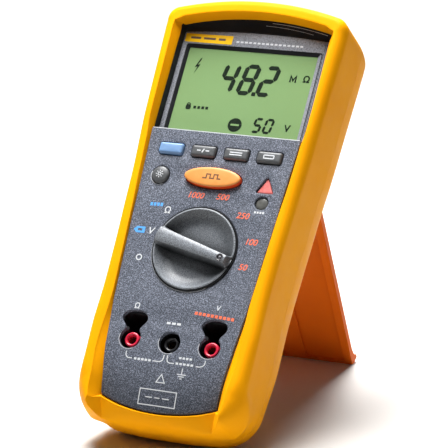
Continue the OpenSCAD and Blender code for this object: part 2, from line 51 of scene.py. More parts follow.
# ---------- the meter's own frame
# Local millimetres: x right, y up the body from its bottom edge, z out of the front panel.
KNOB_Y = 81.1
OUT = Vector(JOINT["knob_turn"]["axis"]).normalized()
UP = Vector((0, OUT.z, -OUT.y))
ORIGIN = Vector(JOINT["knob_turn"]["pos_m"]) - UP * (KNOB_Y / 1000)
PLACE = Matrix(((0.001, UP.x / 1000, OUT.x / 1000, ORIGIN.x),
                (0, UP.y / 1000, OUT.y / 1000, ORIGIN.y),
                (0, UP.z / 1000, OUT.z / 1000, ORIGIN.z),
                (0, 0, 0, 1)))
TURN = Matrix(((1, UP.x, OUT.x), (0, UP.y, OUT.y), (0, UP.z, OUT.z)))


def placed(name, data):
    """A new object in the scene."""
    o = bpy.data.objects.new(name, data)
    bpy.context.scene.collection.objects.link(o)
    return o


# ---------- camera
SENSOR = 36
FOCAL = 75 / 14                 # focal length as a multiple of the picture's width
cam_data = bpy.data.cameras.new("camera")
cam = placed("camera", cam_data)
bpy.context.scene.camera = cam
cam_data.sensor_width = SENSOR
cam_data.lens = SENSOR * FOCAL
right = TURN @ Vector((0.91105, 0.24366, -0.33258))
above = TURN @ Vector((-0.10088, 0.91390, 0.39321))
back = TURN @ Vector((0.39976, -0.32468, 0.85719))
spot = PLACE @ Vector((431.67, -247.56, 902.78))
cam.matrix_world = Matrix(((right.x, above.x, back.x, spot.x),
                           (right.y, above.y, back.y, spot.y),
                           (right.z, above.z, back.z, spot.z),
                           (0, 0, 0, 1)))
cam_data.clip_start, cam_data.clip_end = 0.05, 20

# ---------- sizes: the CAD's, or fitted to the photograph where the looks differ from it
# Heights of the faces
LEDGE = 1.0                     # step down round the edge of the grey panel
MASK_Z = -5.7                   # face of the display mask
SIDE_Z, BACK_DROP = -20.0, 18.5         # where the back starts to curve, and how far it goes on
PART_Z, REAR_Z = -24.0, -24.15          # edges of the two shells at the parting line
BACK_IN_SIDE, BACK_IN_FOOT = 4.2, 8.0   # how far the back draws in
# Outline of the body: flat foot, short bend, rising run, corner, side, shoulder, crown
FOOT_HALF, BEND_R, BEND = 9, 18, 1.14
RUN, RUN_X, RUN_RISE, BEND_END = 12.63, 12.6, 0.8, (10.14, 0.036)
CORNER, CORNER_R, CORNER_FROM, CORNER_TO = (21.6, 18.8), 18, 273.63, 359.3
CHIN_TO = 308                   # angle on the corner where the chin ends
SIDE_Y, SHOULDER_Y = 19.4, 190.4
SHOULDER, SHOULDER_R, SHOULDER_FROM, SHOULDER_TO = (37.25, 191.7), 7.5, -2.23, 74.3
CROWN_CY, CROWN_R = 59.3, 145.0
# Outline of the front opening
PANEL_FOOT = 27.5               # half width of the panel's lower edge
LIP_CY, LIP_R = 78.9, 72.7
PANEL_SIDE = [(10, 27.5), (20, 28.3), (33, 29.9), (40, 30.5), (54, 31.9), (75, 33.1), (96, 34.3),
              (110, 34.9), (125, 35.7), (136, 36.3)]
STEP_Y = 137.6                  # where the panel steps down to the display
RECESS, RECESS_CORNER_R, RECESS_TO, RECESS_R = (33.9, 190.4), 2.4, 75.5, 137.8
# Places of the controls
JACK_Y, JACK_P, WELL_R = 37.0, 19.05, 5.0
KEY_Y, KEY_P = 127.6, 15.95
TEST_Y, TEST_A, TEST_B = 115.2, 13.6, 4.7
LIGHT = (-25.8, 114.4)
WARNING = (25.5, 114.2)
PASS = (25.5, 106)
KNOB_R, RIM, BAR_TURN = 19.35, 1.1, -14.5
# Back
PIVOT_Y, PIVOT_Z, PIN_R, PIN_HALF = 132.6, -37.0, 1.66, 35.8
RECESS_FLOOR, DOOR_FLOOR = -35.1, -33.5
SCREWS = [(-27, 187.5), (27, 187.5), (-22, 23.5), (22, 23.5)]


# ---------- materials
class Mat:
    """A node material built step by step, on object coordinates in metres."""

    def __init__(self, name, colour, rough, metal=0.0, spec=0.5):
        self.material = bpy.data.materials.new(name)
        self.material.use_nodes = True
        self.tree = self.material.node_tree
        self.shader = self.tree.nodes["Principled BSDF"]
        self.base = (*colour, 1)
        for key, value in (("Base Color", self.base), ("Roughness", rough), ("Metallic", metal),
                           ("Specular IOR Level", spec)):
            self.shader.inputs[key].default_value = value
        self.place = self.tree.nodes.new("ShaderNodeTexCoord").outputs["Object"]
        self.colour = None
        self.height = None

    def node(self, kind, values, links):
        """A node with constants on some inputs and links to others."""
        new = self.tree.nodes.new(kind)
        for key, value in values.items():
            new.inputs[key].default_value = value
        for key, source in links.items():
            self.tree.links.new(source, new.inputs[key])
        return new

    def noise(self, scale, detail):
        values = {"Scale": scale, "Detail": detail}
        return self.node("ShaderNodeTexNoise", values, {"Vector": self.place}).outputs["Fac"]

    def ramp(self, source, low, high, start, end):
        """Turns low..high of a value into start..end."""
        values = {"From Min": low, "From Max": high, "To Min": start, "To Max": end}
        return self.node("ShaderNodeMapRange", values, {"Value": source}).outputs["Result"]

    def tint(self, factor, colour):
        """Mixes a colour over what is there, by factor."""
        mix = self.tree.nodes.new("ShaderNodeMix")
        mix.data_type = "RGBA"
        if self.colour is None:
            mix.inputs["A"].default_value = self.base
        else:
            self.tree.links.new(self.colour, mix.inputs["A"])
        mix.inputs["B"].default_value = (*colour, 1)
        self.tree.links.new(factor, mix.inputs["Factor"])
        self.colour = mix.outputs["Result"]
        self.tree.links.new(self.colour, self.shader.inputs["Base Color"])
        return self

    def fleck(self, scale, colour, low=0.4, high=0.7, amount=0.5, detail=1.0):
        """Flecks of a colour where the noise is high."""
        return self.tint(self.ramp(self.noise(scale, detail), low, high, 0, amount), colour)

    def painted_hollow_shade(self, reach, low, high, colour):
        """Painted shade: darker in hollows, where the shade falls."""
        hollow = self.node("ShaderNodeAmbientOcclusion", {"Distance": reach}, {})
        hollow.samples = 8
        return self.tint(self.ramp(hollow.outputs["AO"], low, high, 1.0, 0), colour)

    def fade(self, high, low, colour):
        """Painted shade: changes gradually to a colour between two heights."""
        split = self.node("ShaderNodeSeparateXYZ", {}, {"Vector": self.place})
        return self.tint(self.ramp(split.outputs["Z"], high, low, 0, 1.0), colour)

    def rough(self, scale, smooth, dull):
        """Roughness that wanders between two values."""
        value = self.ramp(self.noise(scale, 3.0), 0.3, 0.7, smooth, dull)
        self.tree.links.new(value, self.shader.inputs["Roughness"])
        return self

    def bump(self, scale, microns, strength=0.3):
        """Fine relief, added over any relief before it."""
        links = {"Height": self.noise(scale, 2.0)}
        if self.height is not None:
            links["Normal"] = self.height
        values = {"Strength": strength, "Distance": microns / 1e6}
        self.height = self.node("ShaderNodeBump", values, links).outputs["Normal"]
        self.tree.links.new(self.height, self.shader.inputs["Normal"])
        return self


MATERIALS = {}


def finish(name, colour, rough, metal=0.0, spec=0.5):
    """Starts a material and keeps it by name."""
    new = Mat(name, colour, rough, metal, spec)
    MATERIALS[name] = new.material
    return new


# Casing
(finish("yellow_shell", (0.90, 0.365, 0.003), 0.42, spec=0.025)
 .fleck(60, (0.84, 0.305, 0.002), 0.35, 0.7, 0.35, 3).fleck(900, (0.93, 0.40, 0.01), 0.62, 0.75, 0.25)
 .rough(180, 0.36, 0.50).bump(2600, 50).bump(240, 120, 0.12))
# Painted shade: the stand gets a darker, redder copy of the shell's yellow, as it looks in shade
(finish("yellow_stand", (0.72, 0.13, 0.006), 0.45, spec=0.05)
 .fleck(70, (0.64, 0.11, 0.006), 0.35, 0.7, 0.35, 3).rough(200, 0.40, 0.52).bump(2400, 50))
# Painted shade on the grey panel: it darkens towards its lower end
(finish("grey_panel", (0.088, 0.100, 0.126), 0.50, spec=0.2)
 .fleck(2300, (0.25, 0.27, 0.34), 0.50, 0.66, 0.9, 0).fleck(2700, (0.024, 0.026, 0.034), 0.52, 0.66, 0.8, 0)
 .fade(0.036, 0.006, (0.008, 0.011, 0.016)).rough(700, 0.44, 0.56).bump(2300, 50))
(finish("grey_mask", (0.22, 0.23, 0.255), 0.48, spec=0.2)
 .fleck(2300, (0.30, 0.31, 0.35), 0.50, 0.66, 0.8, 0).fleck(2700, (0.05, 0.053, 0.066), 0.54, 0.68, 0.7, 0)
 .rough(700, 0.36, 0.48).bump(2300, 40))
(finish("black_trim", (0.010, 0.011, 0.013), 0.40, spec=0.2)
 .fleck(120, (0.018, 0.020, 0.023), amount=0.6).rough(160, 0.34, 0.48).bump(900, 30, 0.15))
(finish("grey_door", (0.10, 0.105, 0.115), 0.5)
 .fleck(1500, (0.20, 0.21, 0.24), 0.5, 0.62, 0.6, 0.0).rough(400, 0.44, 0.58).bump(1500, 80, 0.4))
# Selector, keys, lamps, sockets
# Painted shade on the knob: darker in its hollows, under the bar and in the bowls
(finish("knob_grey", (0.185, 0.20, 0.22), 0.42, spec=0.3)
 .fleck(2300, (0.30, 0.32, 0.35), 0.52, 0.66, 0.7, 0).fleck(2700, (0.025, 0.027, 0.033), 0.56, 0.68, 0.6, 0)
 .painted_hollow_shade(0.014, 0.52, 0.95, (0.006, 0.007, 0.008)).rough(500, 0.34, 0.46).bump(2300, 40))
(finish("pointer_grey", (0.09, 0.09, 0.10), 0.30)
 .fleck(900, (0.16, 0.16, 0.18), 0.4, 0.65, 0.6).bump(1500, 40))
(finish("dark_key", (0.070, 0.073, 0.077), 0.38, spec=0.45)
 .fleck(900, (0.10, 0.105, 0.11), 0.45, 0.65).rough(300, 0.32, 0.46).bump(1800, 40))
(finish("blue_key", (0.145, 0.26, 0.46), 0.40, spec=0.4)
 .fleck(500, (0.17, 0.295, 0.50), 0.4, 0.65).rough(300, 0.34, 0.48).bump(1800, 40))
(finish("orange_key", (0.70, 0.27, 0.065), 0.42, spec=0.3)
 .fleck(300, (0.76, 0.31, 0.08), 0.4, 0.65).rough(300, 0.34, 0.46).bump(1800, 40))
# Painted shade: the test button's side wall gets a darker, redder copy of the key's orange
finish("orange_skirt", (0.72, 0.055, 0.006), 0.40).fleck(300, (0.80, 0.08, 0.01), 0.4, 0.65).bump(1800, 40)
(finish("red_lens", (0.64, 0.14, 0.13), 0.30, spec=0.4)
 .fleck(500, (0.78, 0.24, 0.22), amount=0.7).bump(1300, 60, 0.4))
(finish("grey_lens", (0.085, 0.085, 0.078), 0.28, spec=0.4)
 .fleck(500, (0.14, 0.14, 0.13), amount=0.6).bump(1300, 60, 0.4))
(finish("red_socket", (0.64, 0.020, 0.055), 0.28, spec=0.55)
 .fleck(500, (0.72, 0.03, 0.07)).rough(300, 0.22, 0.36).bump(1500, 30))
finish("black_socket", (0.016, 0.016, 0.018), 0.30).fleck(500, (0.03, 0.03, 0.033)).bump(1500, 30)
# Display
(finish("lcd_green", (0.20, 0.325, 0.135), 0.9, spec=0.05)
 .fleck(25, (0.215, 0.345, 0.15), 0.3, 0.7, 0.6, 2).fleck(2600, (0.17, 0.275, 0.11), 0.5, 0.7, 0.35)
 .rough(300, 0.8, 0.95))
clear = finish("clear_lens", (0.03, 0.035, 0.03), 0.06, spec=0.15).rough(60, 0.04, 0.09)
clear.shader.inputs["Alpha"].default_value = 0.04
finish("ink_dark", (0.010, 0.018, 0.010), 0.85, spec=0.05).fleck(700, (0.02, 0.03, 0.02))
# Print, and painted highlight lines: colour, roughness, metal, specular, then the flecks' scale, colour and
# amount
for name, colour, rough, metal, spec, scale, fleck, amount in (
        ("ink_white", (0.62, 0.64, 0.66), 0.6, 0.0, 0.2, 1500, (0.55, 0.57, 0.60), 0.6),
        ("ink_red", (0.86, 0.15, 0.06), 0.5, 0.0, 0.5, 1500, (0.70, 0.11, 0.05), 0.6),
        ("ink_blue", (0.075, 0.34, 0.80), 0.5, 0.0, 0.5, 1500, (0.06, 0.27, 0.66), 0.6),
        ("ink_brown", (0.10, 0.045, 0.010), 0.5, 0.0, 0.5, 1500, (0.15, 0.07, 0.02), 0.6),
        ("label_gold", (0.95, 0.55, 0.008), 0.5, 0.0, 0.1, 900, (0.90, 0.50, 0.008), 0.5),
        ("silver_line", (0.62, 0.64, 0.67), 0.38, 0.1, 0.5, 900, (0.36, 0.38, 0.42), 0.5),
        ("edge_grey", (0.52, 0.54, 0.57), 0.5, 0.0, 0.2, 1500, (0.32, 0.34, 0.37), 0.7)):
    finish(name, colour, rough, metal, spec).fleck(scale, fleck, 0.35, 0.7, amount)
# Inside
finish("white_plastic", (0.72, 0.72, 0.70), 0.4).fleck(300, (0.62, 0.62, 0.60)).bump(900, 40)
(finish("black_rubber", (0.018, 0.018, 0.018), 0.62)
 .fleck(700, (0.03, 0.03, 0.03), amount=0.6).bump(1400, 80, 0.4))
(finish("grey_rubber", (0.14, 0.145, 0.15), 0.6)
 .fleck(700, (0.19, 0.19, 0.2), amount=0.6).bump(1400, 80, 0.4))
(finish("brass_parts", (0.72, 0.48, 0.16), 0.28, metal=1.0)
 .fleck(300, (0.60, 0.38, 0.12)).rough(400, 0.2, 0.4))
(finish("steel_parts", (0.55, 0.56, 0.58), 0.3, metal=1.0)
 .fleck(250, (0.42, 0.43, 0.45)).rough(400, 0.22, 0.42).bump(900, 30))
finish("board_green", (0.02, 0.13, 0.045), 0.4).fleck(400, (0.05, 0.20, 0.08), 0.45, 0.6, 0.7).bump(900, 50)
finish("winding_tan", (0.42, 0.25, 0.10), 0.5).fleck(600, (0.30, 0.16, 0.06), amount=0.6).bump(1200, 100, 0.5)
finish("fuse_ceramic", (0.75, 0.72, 0.62), 0.35).fleck(300, (0.66, 0.62, 0.52)).rough(300, 0.28, 0.42)
(finish("cell_jacket", (0.05, 0.055, 0.07), 0.3)
 .fleck(120, (0.10, 0.11, 0.13), 0.4, 0.6, 0.6).rough(300, 0.22, 0.36))


# ---------- scene helpers
def piece(name, mesh, material, replaces=(), body="meter", sharp=40, smooth=True):
    """Puts a mesh in local millimetres into the scene, riding on a body."""
    mesh.transform(PLACE)
    mesh.name = name
    o = placed(name, mesh)
    names = [material] if isinstance(material, str) else material
    mesh.materials.clear()
    for m in names:
        mesh.materials.append(MATERIALS[m])
    for p in mesh.polygons:
        p.use_smooth = smooth
    if smooth:
        mesh.set_sharp_from_angle(angle=radians(sharp))
    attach(o, body)
    if replaces:
        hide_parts(replaces)
    return o


def drawn(name, mesh, ink, body="meter"):
    """A printed or flat-sided piece that stands for no CAD node."""
    piece(name, mesh, ink, body=body, smooth=False)


# ---------- mesh helpers
@contextmanager
def editing(mesh):
    """Opens a mesh for editing and writes it back."""
    bm = bmesh.new()
    bm.from_mesh(mesh)
    yield bm
    bm.to_mesh(mesh)
    bm.free()


def weld(mesh, gap=0.0):
    """Merges points closer than the gap and turns the faces outwards."""
    with editing(mesh) as bm:
        if gap:
            bmesh.ops.remove_doubles(bm, verts=bm.verts, dist=gap)
        bmesh.ops.recalc_face_normals(bm, faces=bm.faces)
    return mesh


def mesh_of(verts, faces):
    m = bpy.data.meshes.new("m")
    m.from_pydata([tuple(v) for v in verts], [], faces)
    m.validate()
    m.update()
    return weld(m)


def joined(*meshes):
    bm = bmesh.new()
    for m in meshes:
        bm.from_mesh(m)
    out = bpy.data.meshes.new("m")
    bm.to_mesh(out)
    bm.free()
    return out


def rings(rows, closed_rows=True, closed_cols=True, caps=False):
    """Quads between equal rings of points."""
    n, m = len(rows), len(rows[0])
    faces = []
    for i in range(n if closed_rows else n - 1):
        j = (i + 1) % n
        for k in range(m if closed_cols else m - 1):
            l = (k + 1) % m
            faces.append((i * m + k, i * m + l, j * m + l, j * m + k))
    if caps:
        faces.append(tuple(range(m)))
        faces.append(tuple((n - 1) * m + k for k in reversed(range(m))))
    return mesh_of([p for r in rows for p in r], faces)


def evaluated(o):
    """New mesh of an object after its modifiers or curve settings."""
    bpy.context.view_layer.update()
    dg = bpy.context.evaluated_depsgraph_get()
    return bpy.data.meshes.new_from_object(o.evaluated_get(dg))


def from_curve(data, z=0.0):
    """Mesh of a curve or text datablock, raised to z."""
    o = placed("curve", data)
    m = evaluated(o)
    bpy.data.objects.remove(o)
    m.transform(Matrix.Translation((0, 0, z)))
    return weld(m, 0.0005)


def curve(kind, **settings):
    c = bpy.data.curves.new("curve", kind)
    for key, value in settings.items():
        setattr(c, key, value)
    return c


def plate(outlines, z0, z1, bevel=0.0, steps=2):
    """Flat plate between z0 and z1 with rounded edges; outlines inside others are holes."""
    c = curve("CURVE", dimensions="2D", fill_mode="BOTH", extrude=(z1 - z0) / 2 - bevel, bevel_depth=bevel,
              bevel_resolution=steps, offset=-bevel)
    for line in outlines:
        s = c.splines.new("POLY")
        s.points.add(len(line) - 1)
        for p, q in zip(s.points, line):
            p.co = (q[0], q[1], 0, 1)
        s.use_cyclic_u = True
    return from_curve(c, (z0 + z1) / 2)


def block(x0, x1, y0, y1, z0, z1):
    return plate([[(x0, y0), (x1, y0), (x1, y1), (x0, y1)]], z0, z1)


def stroke(line, width, z, height):
    """One printed line through its points, closed if it ends where it starts."""
    pts = [Vector((p[0], p[1])) for p in line]
    closed = (pts[0] - pts[-1]).length < 1e-6
    n = len(pts)
    left, right_side = [], []
    for i, p in enumerate(pts):
        if closed:
            a, b = pts[(i - 1) % (n - 1)], pts[(i + 1) % (n - 1)]
        else:
            a, b = pts[max(0, i - 1)], pts[min(n - 1, i + 1)]
        d1 = (p - a).normalized() if (p - a).length > 1e-9 else (b - p).normalized()
        d2 = (b - p).normalized() if (b - p).length > 1e-9 else d1
        t = (d1 + d2).normalized()
        across = Vector((-t.y, t.x))
        k = width / 2 / max(0.5, across.dot(Vector((-d1.y, d1.x))))
        left.append(p + across * k)
        right_side.append(p - across * k)
    verts = [(v.x, v.y, h) for h in (z, z + height) for v in left + right_side]
    faces = []
    for i in range(n - 1):
        faces += [(2 * n + i, 2 * n + i + 1, 3 * n + i + 1, 3 * n + i), (i, n + i, n + i + 1, i + 1),
                  (i, i + 1, 2 * n + i + 1, 2 * n + i), (n + i, 3 * n + i, 3 * n + i + 1, n + i + 1)]
    if not closed:
        faces += [(0, 2 * n, 3 * n, n), (n - 1, 2 * n - 1, 4 * n - 1, 3 * n - 1)]
    return mesh_of(verts, faces)


def strokes(lines, width, z, height=0.05):
    return joined(*[stroke(line, width, z, height) for line in lines])


def text(body, x, y, size, z, shear=0.0, height=0.05, weight=0.04):
    m = from_curve(curve("FONT", body=body, size=size, shear=shear, extrude=height / 2, offset=weight,
                         align_x="CENTER", align_y="CENTER"))
    m.transform(Matrix.Translation((x, y, z + height / 2)))
    return m


def revolve(profile, x, y, n=64):
    """Solid turned from (r, z) points round an axis at x, y."""
    m = len(profile)
    verts, faces = [], []
    for i in range(n):
        a = 2 * pi * i / n
        verts += [(x + r * cos(a), y + r * sin(a), z) for r, z in profile]
        j = (i + 1) % n
        faces += [(i * m + k, j * m + k, j * m + k + 1, i * m + k + 1) for k in range(m - 1)]
    return weld(mesh_of(verts, faces), 0.0002)


def peg(r, z0, z1, x=0, y=0, n=24):
    """Round peg between two heights."""
    return revolve([(0, z0), (r, z0), (r, z1), (0, z1)], x, y, n)


def cut(solid, tool):
    """The solid less the tool, both in local millimetres."""
    objects = [placed("cut", m) for m in (solid, tool)]
    mod = objects[0].modifiers.new("cut", "BOOLEAN")
    mod.operation = "DIFFERENCE"
    mod.object = objects[1]
    mod.solver = "EXACT"
    out = evaluated(objects[0])
    for o in objects:
        bpy.data.objects.remove(o)
    return out


def soften(node, width, segments):
    """A CAD node's own mesh with its edges rounded, in local millimetres."""
    src = frame["nodes"][node].data.copy()
    src.transform(PLACE.inverted())
    bm = bmesh.new()
    bm.from_mesh(src)
    bmesh.ops.remove_doubles(bm, verts=bm.verts, dist=0.003)
    bmesh.ops.dissolve_limit(bm, angle_limit=radians(0.6), verts=bm.verts, edges=bm.edges)
    edges = [e for e in bm.edges if len(e.link_faces) == 2 and e.calc_face_angle(0) > radians(30)]
    bmesh.ops.bevel(bm, geom=edges, offset=width, segments=segments, affect="EDGES", profile=0.5,
                    clamp_overlap=True)
    bmesh.ops.recalc_face_normals(bm, faces=bm.faces)
    out = bpy.data.meshes.new("m")
    bm.to_mesh(out)
    bm.free()
    return out


# ---------- outline helpers
def ease(a, b, x):
    t = min(1.0, max(0.0, (x - a) / (b - a)))
    return t * t * (3 - 2 * t)


def on_circle(centre, r, degrees):
    a = radians(degrees)
    return (centre[0] + r * cos(a), centre[1] + r * sin(a))


def arc(cx, cy, r, a0, a1, n):
    return [on_circle((cx, cy), r, a0 + (a1 - a0) * i / n) for i in range(n + 1)]


def ellipse(cx, cy, a, b, n=72):
    return [(cx + a * cos(2 * pi * i / n), cy + b * sin(2 * pi * i / n)) for i in range(n)]


def round_rect(cx, cy, w, h, r, n=6):
    x, y = w / 2 - r, h / 2 - r
    corners = ((x, y, 0), (-x, y, 90), (-x, -y, 180), (x, -y, 270))
    return [p for dx, dy, a in corners for p in arc(cx + dx, cy + dy, r, a, a + 90, n)]


def moved(points, to):
    return [(x + to[0], y + to[1]) for x, y in points]


def mirrored(half):
    """A half outline with x >= 0, closed by its mirror image."""
    other = [(-x, y) for x, y in reversed(half)]
    if abs(half[-1][0]) < 1e-6:
        other = other[1:]
    if abs(half[0][0]) < 1e-6:
        other = other[:-1]
    return list(half) + other


def rounded(poly, r, n=5):
    """Polygon with its corners rounded."""
    out = []
    for i, p in enumerate(poly):
        p = Vector(p)
        a = (Vector(poly[i - 1]) - p).normalized()
        b = (Vector(poly[(i + 1) % len(poly)]) - p).normalized()
        half = math.acos(max(-1, min(1, a.dot(b)))) / 2
        c = p + (a + b).normalized() * (r / sin(half))
        run = r / math.tan(half)
        s, e = p + a * run - c, p + b * run - c
        a0 = math.atan2(s.y, s.x)
        da = (math.atan2(e.y, e.x) - a0 + pi) % (2 * pi) - pi
        out += [(c.x + r * cos(a0 + da * k / n), c.y + r * sin(a0 + da * k / n)) for k in range(n + 1)]
    return out


def smooth_line(points, n=4):
    """Catmull-Rom curve through the points."""
    q = [Vector(v) for v in points]
    q = [q[0]] + q + [q[-1]]
    out = []
    for i in range(1, len(q) - 2):
        a, b, c, d = q[i - 1:i + 3]
        for t in (k / n for k in range(n)):
            v = 0.5 * (2 * b + (c - a) * t + (2 * a - 5 * b + 4 * c - d) * t * t
                       + (3 * b - a - 3 * c + d) * t ** 3)
            out.append((v.x, v.y))
    out.append((q[-2].x, q[-2].y))
    return out


# ---------- the front face's lower end
DIP_TOP = 36.0                  # below this the front face curves back


def dip(y, x=0.0):
    """How far the lower end of the front face curves back, more at its corners."""
    return -0.0045 * max(0.0, DIP_TOP - y) ** 2 * (1 + 0.7 * (x / 28) ** 2)


def follow_dip(mesh):
    """Cuts the mesh into strips and lowers its bottom end along the curve of the front face."""
    step, bottom, top = 1.5, 3.0, DIP_TOP + 1
    with editing(mesh) as bm:
        for i in range(math.ceil((top - bottom) / step)):
            bmesh.ops.bisect_plane(bm, geom=bm.verts[:] + bm.edges[:] + bm.faces[:], dist=1e-5,
                                   plane_co=(0, bottom + i * step, 0), plane_no=(0, 1, 0))
        for x in (-24, -20, -15, -10, -5, 0, 5, 10, 15, 20, 24):
            low = [f for f in bm.faces if f.calc_center_median().y < top]
            edges = {e for f in low for e in f.edges}
            verts = {v for f in low for v in f.verts}
            bmesh.ops.bisect_plane(bm, geom=list(verts) + list(edges) + low, dist=1e-5,
                                   plane_co=(x, 0, 0), plane_no=(1, 0, 0))
        for v in bm.verts:
            v.co.z += dip(v.co.y, v.co.x)
    return mesh


# ---------- body outline
def side_x(y):
    """Half width of the body between its foot and its shoulder, a little slimmer at the waist."""
    low = 39.6 + (y - SIDE_Y) * 0.01145
    high = 40.2 + (y - 71.3) * 0.03894
    slim = 0.5 * ease(42, 62, y) * (1 - ease(112, 140, y))
    t = min(1.0, max(0.0, (y - 44) / (98 - 44)))
    return low + (high - low) * t - slim


def panel_side(y):
    """Half width of the grey panel."""
    for (y0, x0), (y1, x1) in zip(PANEL_SIDE, PANEL_SIDE[1:]):
        if y <= y1:
            return x0 + (x1 - x0) * (y - y0) / (y1 - y0)
    return PANEL_SIDE[-1][1]


def lip_y(x):
    """Lower edge of the panel."""
    return LIP_CY - sqrt(LIP_R ** 2 - x * x)


def bottom_path(s):
    """Point on the outline at arc length s from the bottom centre."""
    if s <= FOOT_HALF:
        return (s, 0.0)
    s -= FOOT_HALF
    if s <= BEND:
        return on_circle((FOOT_HALF, BEND_R), BEND_R, 270 + math.degrees(s / BEND_R))
    s -= BEND
    if s <= RUN:
        return (BEND_END[0] + RUN_X * s / RUN, BEND_END[1] + RUN_RISE * s / RUN)
    s -= RUN
    return on_circle(CORNER, CORNER_R, min(CORNER_TO, CORNER_FROM + math.degrees(s / CORNER_R)))


def bottom_at(x):
    """Point on the outline's lower edge at x."""
    if abs(x) <= FOOT_HALF:
        return Vector((x, 0.0))
    low, high = 0.0, 60.0
    for _ in range(40):
        middle = (low + high) / 2
        if bottom_path(middle)[0] < abs(x):
            low = middle
        else:
            high = middle
    p = bottom_path(low)
    return Vector((math.copysign(p[0], x), p[1]))


def stations():
    """Half outline, bottom to crown: pairs of a point on the outside and one on the opening's edge."""
    out = []
    run_end = FOOT_HALF + BEND + RUN
    chin_end = run_end + radians(CHIN_TO - CORNER_FROM) * CORNER_R
    corner_end = run_end + radians(CORNER_TO - CORNER_FROM) * CORNER_R
    for t in (i / 26 for i in range(26)):
        x = PANEL_FOOT * t
        out.append((bottom_path(chin_end * t), (x, lip_y(x))))
    for t in (i / 20 for i in range(20)):
        y = 11.6 + (22 - 11.6) * t
        out.append((bottom_path(chin_end + (corner_end - chin_end) * t), (panel_side(y), y)))
    step = 2.6
    y = SIDE_Y
    while y < SHOULDER_Y:
        inner_y = y + step * (1 - ease(SIDE_Y, 55, y))
        out.append(((side_x(y), y), (panel_side(inner_y), inner_y)))
        y += step
    for t in (i / 16 for i in range(16)):
        a = SHOULDER_FROM + (SHOULDER_TO - SHOULDER_FROM) * t
        out.append((on_circle(SHOULDER, SHOULDER_R, a), on_circle(RECESS, RECESS_CORNER_R, RECESS_TO * t)))
    for t in (i / 22 for i in range(23)):
        a = SHOULDER_TO + (90 - SHOULDER_TO) * t
        b = RECESS_TO + (90 - RECESS_TO) * t
        out.append((on_circle((0, CROWN_CY), CROWN_R, a), on_circle((0, CROWN_CY), RECESS_R, b)))
    return out


def all_round(section):
    """Points (inward distance, z) of a section at each station, carried round both halves."""
    rows = []
    for outer, inner in stations():
        o = Vector(outer)
        d = (Vector(inner) - o).normalized()
        rows.append([(o.x + d.x * u, o.y + d.y * u, z) for u, z in section(outer, inner)])
    return rows + [[(-x, y, z) for x, y, z in r] for r in reversed(rows[1:-1])]


# ---------- front shell
def inner_slope(x, y, crown):
    """Slope down to the panel or the display: its width, its end's height, and the gap there."""
    if y <= STEP_Y - 4:
        foot = 3.35 * (1 - ease(27, 60, y)) + 1.7 * (1 - ease(9, 24, y))
        return 0.55 + foot + 0.55 * ease(96, 115, y), -LEDGE - 0.3 + dip(y, x), 0.25
    t = ease(STEP_Y - 4, STEP_Y + 4, y)
    top = ease(188, 194, y)
    flare = 1.8 + (y - STEP_Y) * 0.024
    width = (1.1 * (1 - t) + flare * t) * (1 - crown) + 0.6 * crown
    end_z = (-1.3 * (1 - t) - 2.2 * t) * (1 - top) - 5.0 * top
    return width, end_z, 0.35 * (1 - t) + 0.45 * t * (1 - crown)


def front_section(outer, inner):
    """Closed section of the overmould as (inward distance, z)."""
    wide = math.dist(outer, inner)
    oy, y = outer[1], inner[1]
    foot = 1 - 0.9 * ease(4, 24, oy) - 0.1 * ease(24, 45, oy)
    crown = ease(190, 197, oy)
    grow = 0.012 * max(0.0, min(y, 185) - 60)
    top_z = 1.1 - 0.4 * foot + 0.9 * ease(118, 150, y)
    slope, end_z, gap = inner_slope(inner[0], y, crown)
    slope = min(slope, wide * 0.62)
    round_x = min(4.0 + 8.0 * foot - 1.8 * crown + grow, wide - slope - 0.35)
    round_z = 4.3 + 11.7 * foot - 2.0 * crown + grow
    bulge = 2.6 * ease(0.6, 5.5, oy) * (1 - ease(8, 24, oy))
    edge = wide - slope
    # Parting line, side, rounded edge, top, then the slope inwards
    s = [(0.05, PART_Z), (0.02, -22.0), (0.0, SIDE_Z)]
    for t in (0.2, 0.4, 0.6, 0.8):
        s.append((-bulge * t, SIDE_Z + (top_z - round_z - SIDE_Z) * t))
    for t in (k / 12 for k in range(13)):
        q = radians(90 * t)
        s.append((-bulge * (1 - t) + round_x * (1 - cos(q)), top_z - round_z * (1 - sin(q))))
    s += [(round_x + (edge - 0.3 - round_x) * t, top_z) for t in (0.25, 0.5, 0.75)]
    s += [(edge - 0.28, top_z), (edge - 0.12, top_z - 0.07), (edge, top_z - 0.28)]
    for t in (0.25, 0.5, 0.75, 1):
        s.append((edge + (slope - gap) * t, top_z - 0.28 + (end_z - top_z + 0.28) * t))
    # Hidden underside, deep under the chin so that the scoop never breaks through
    deep = min(end_z - 0.6, -3.0) - 6.5 * foot
    s += [(wide - gap + 0.02, end_z - 0.6), (wide - gap + 0.04, deep), (3.0, deep - 6.0 * foot),
          (3.0, -19.0), (3.0, PART_Z)]
    return s


def bezier(p0, p1, p2, p3, t):
    w = ((1 - t) ** 3, 3 * t * (1 - t) ** 2, 3 * t * t * (1 - t), t ** 3)
    return tuple(sum(a * p[i] for a, p in zip(w, (p0, p1, p2, p3))) for i in (0, 1))


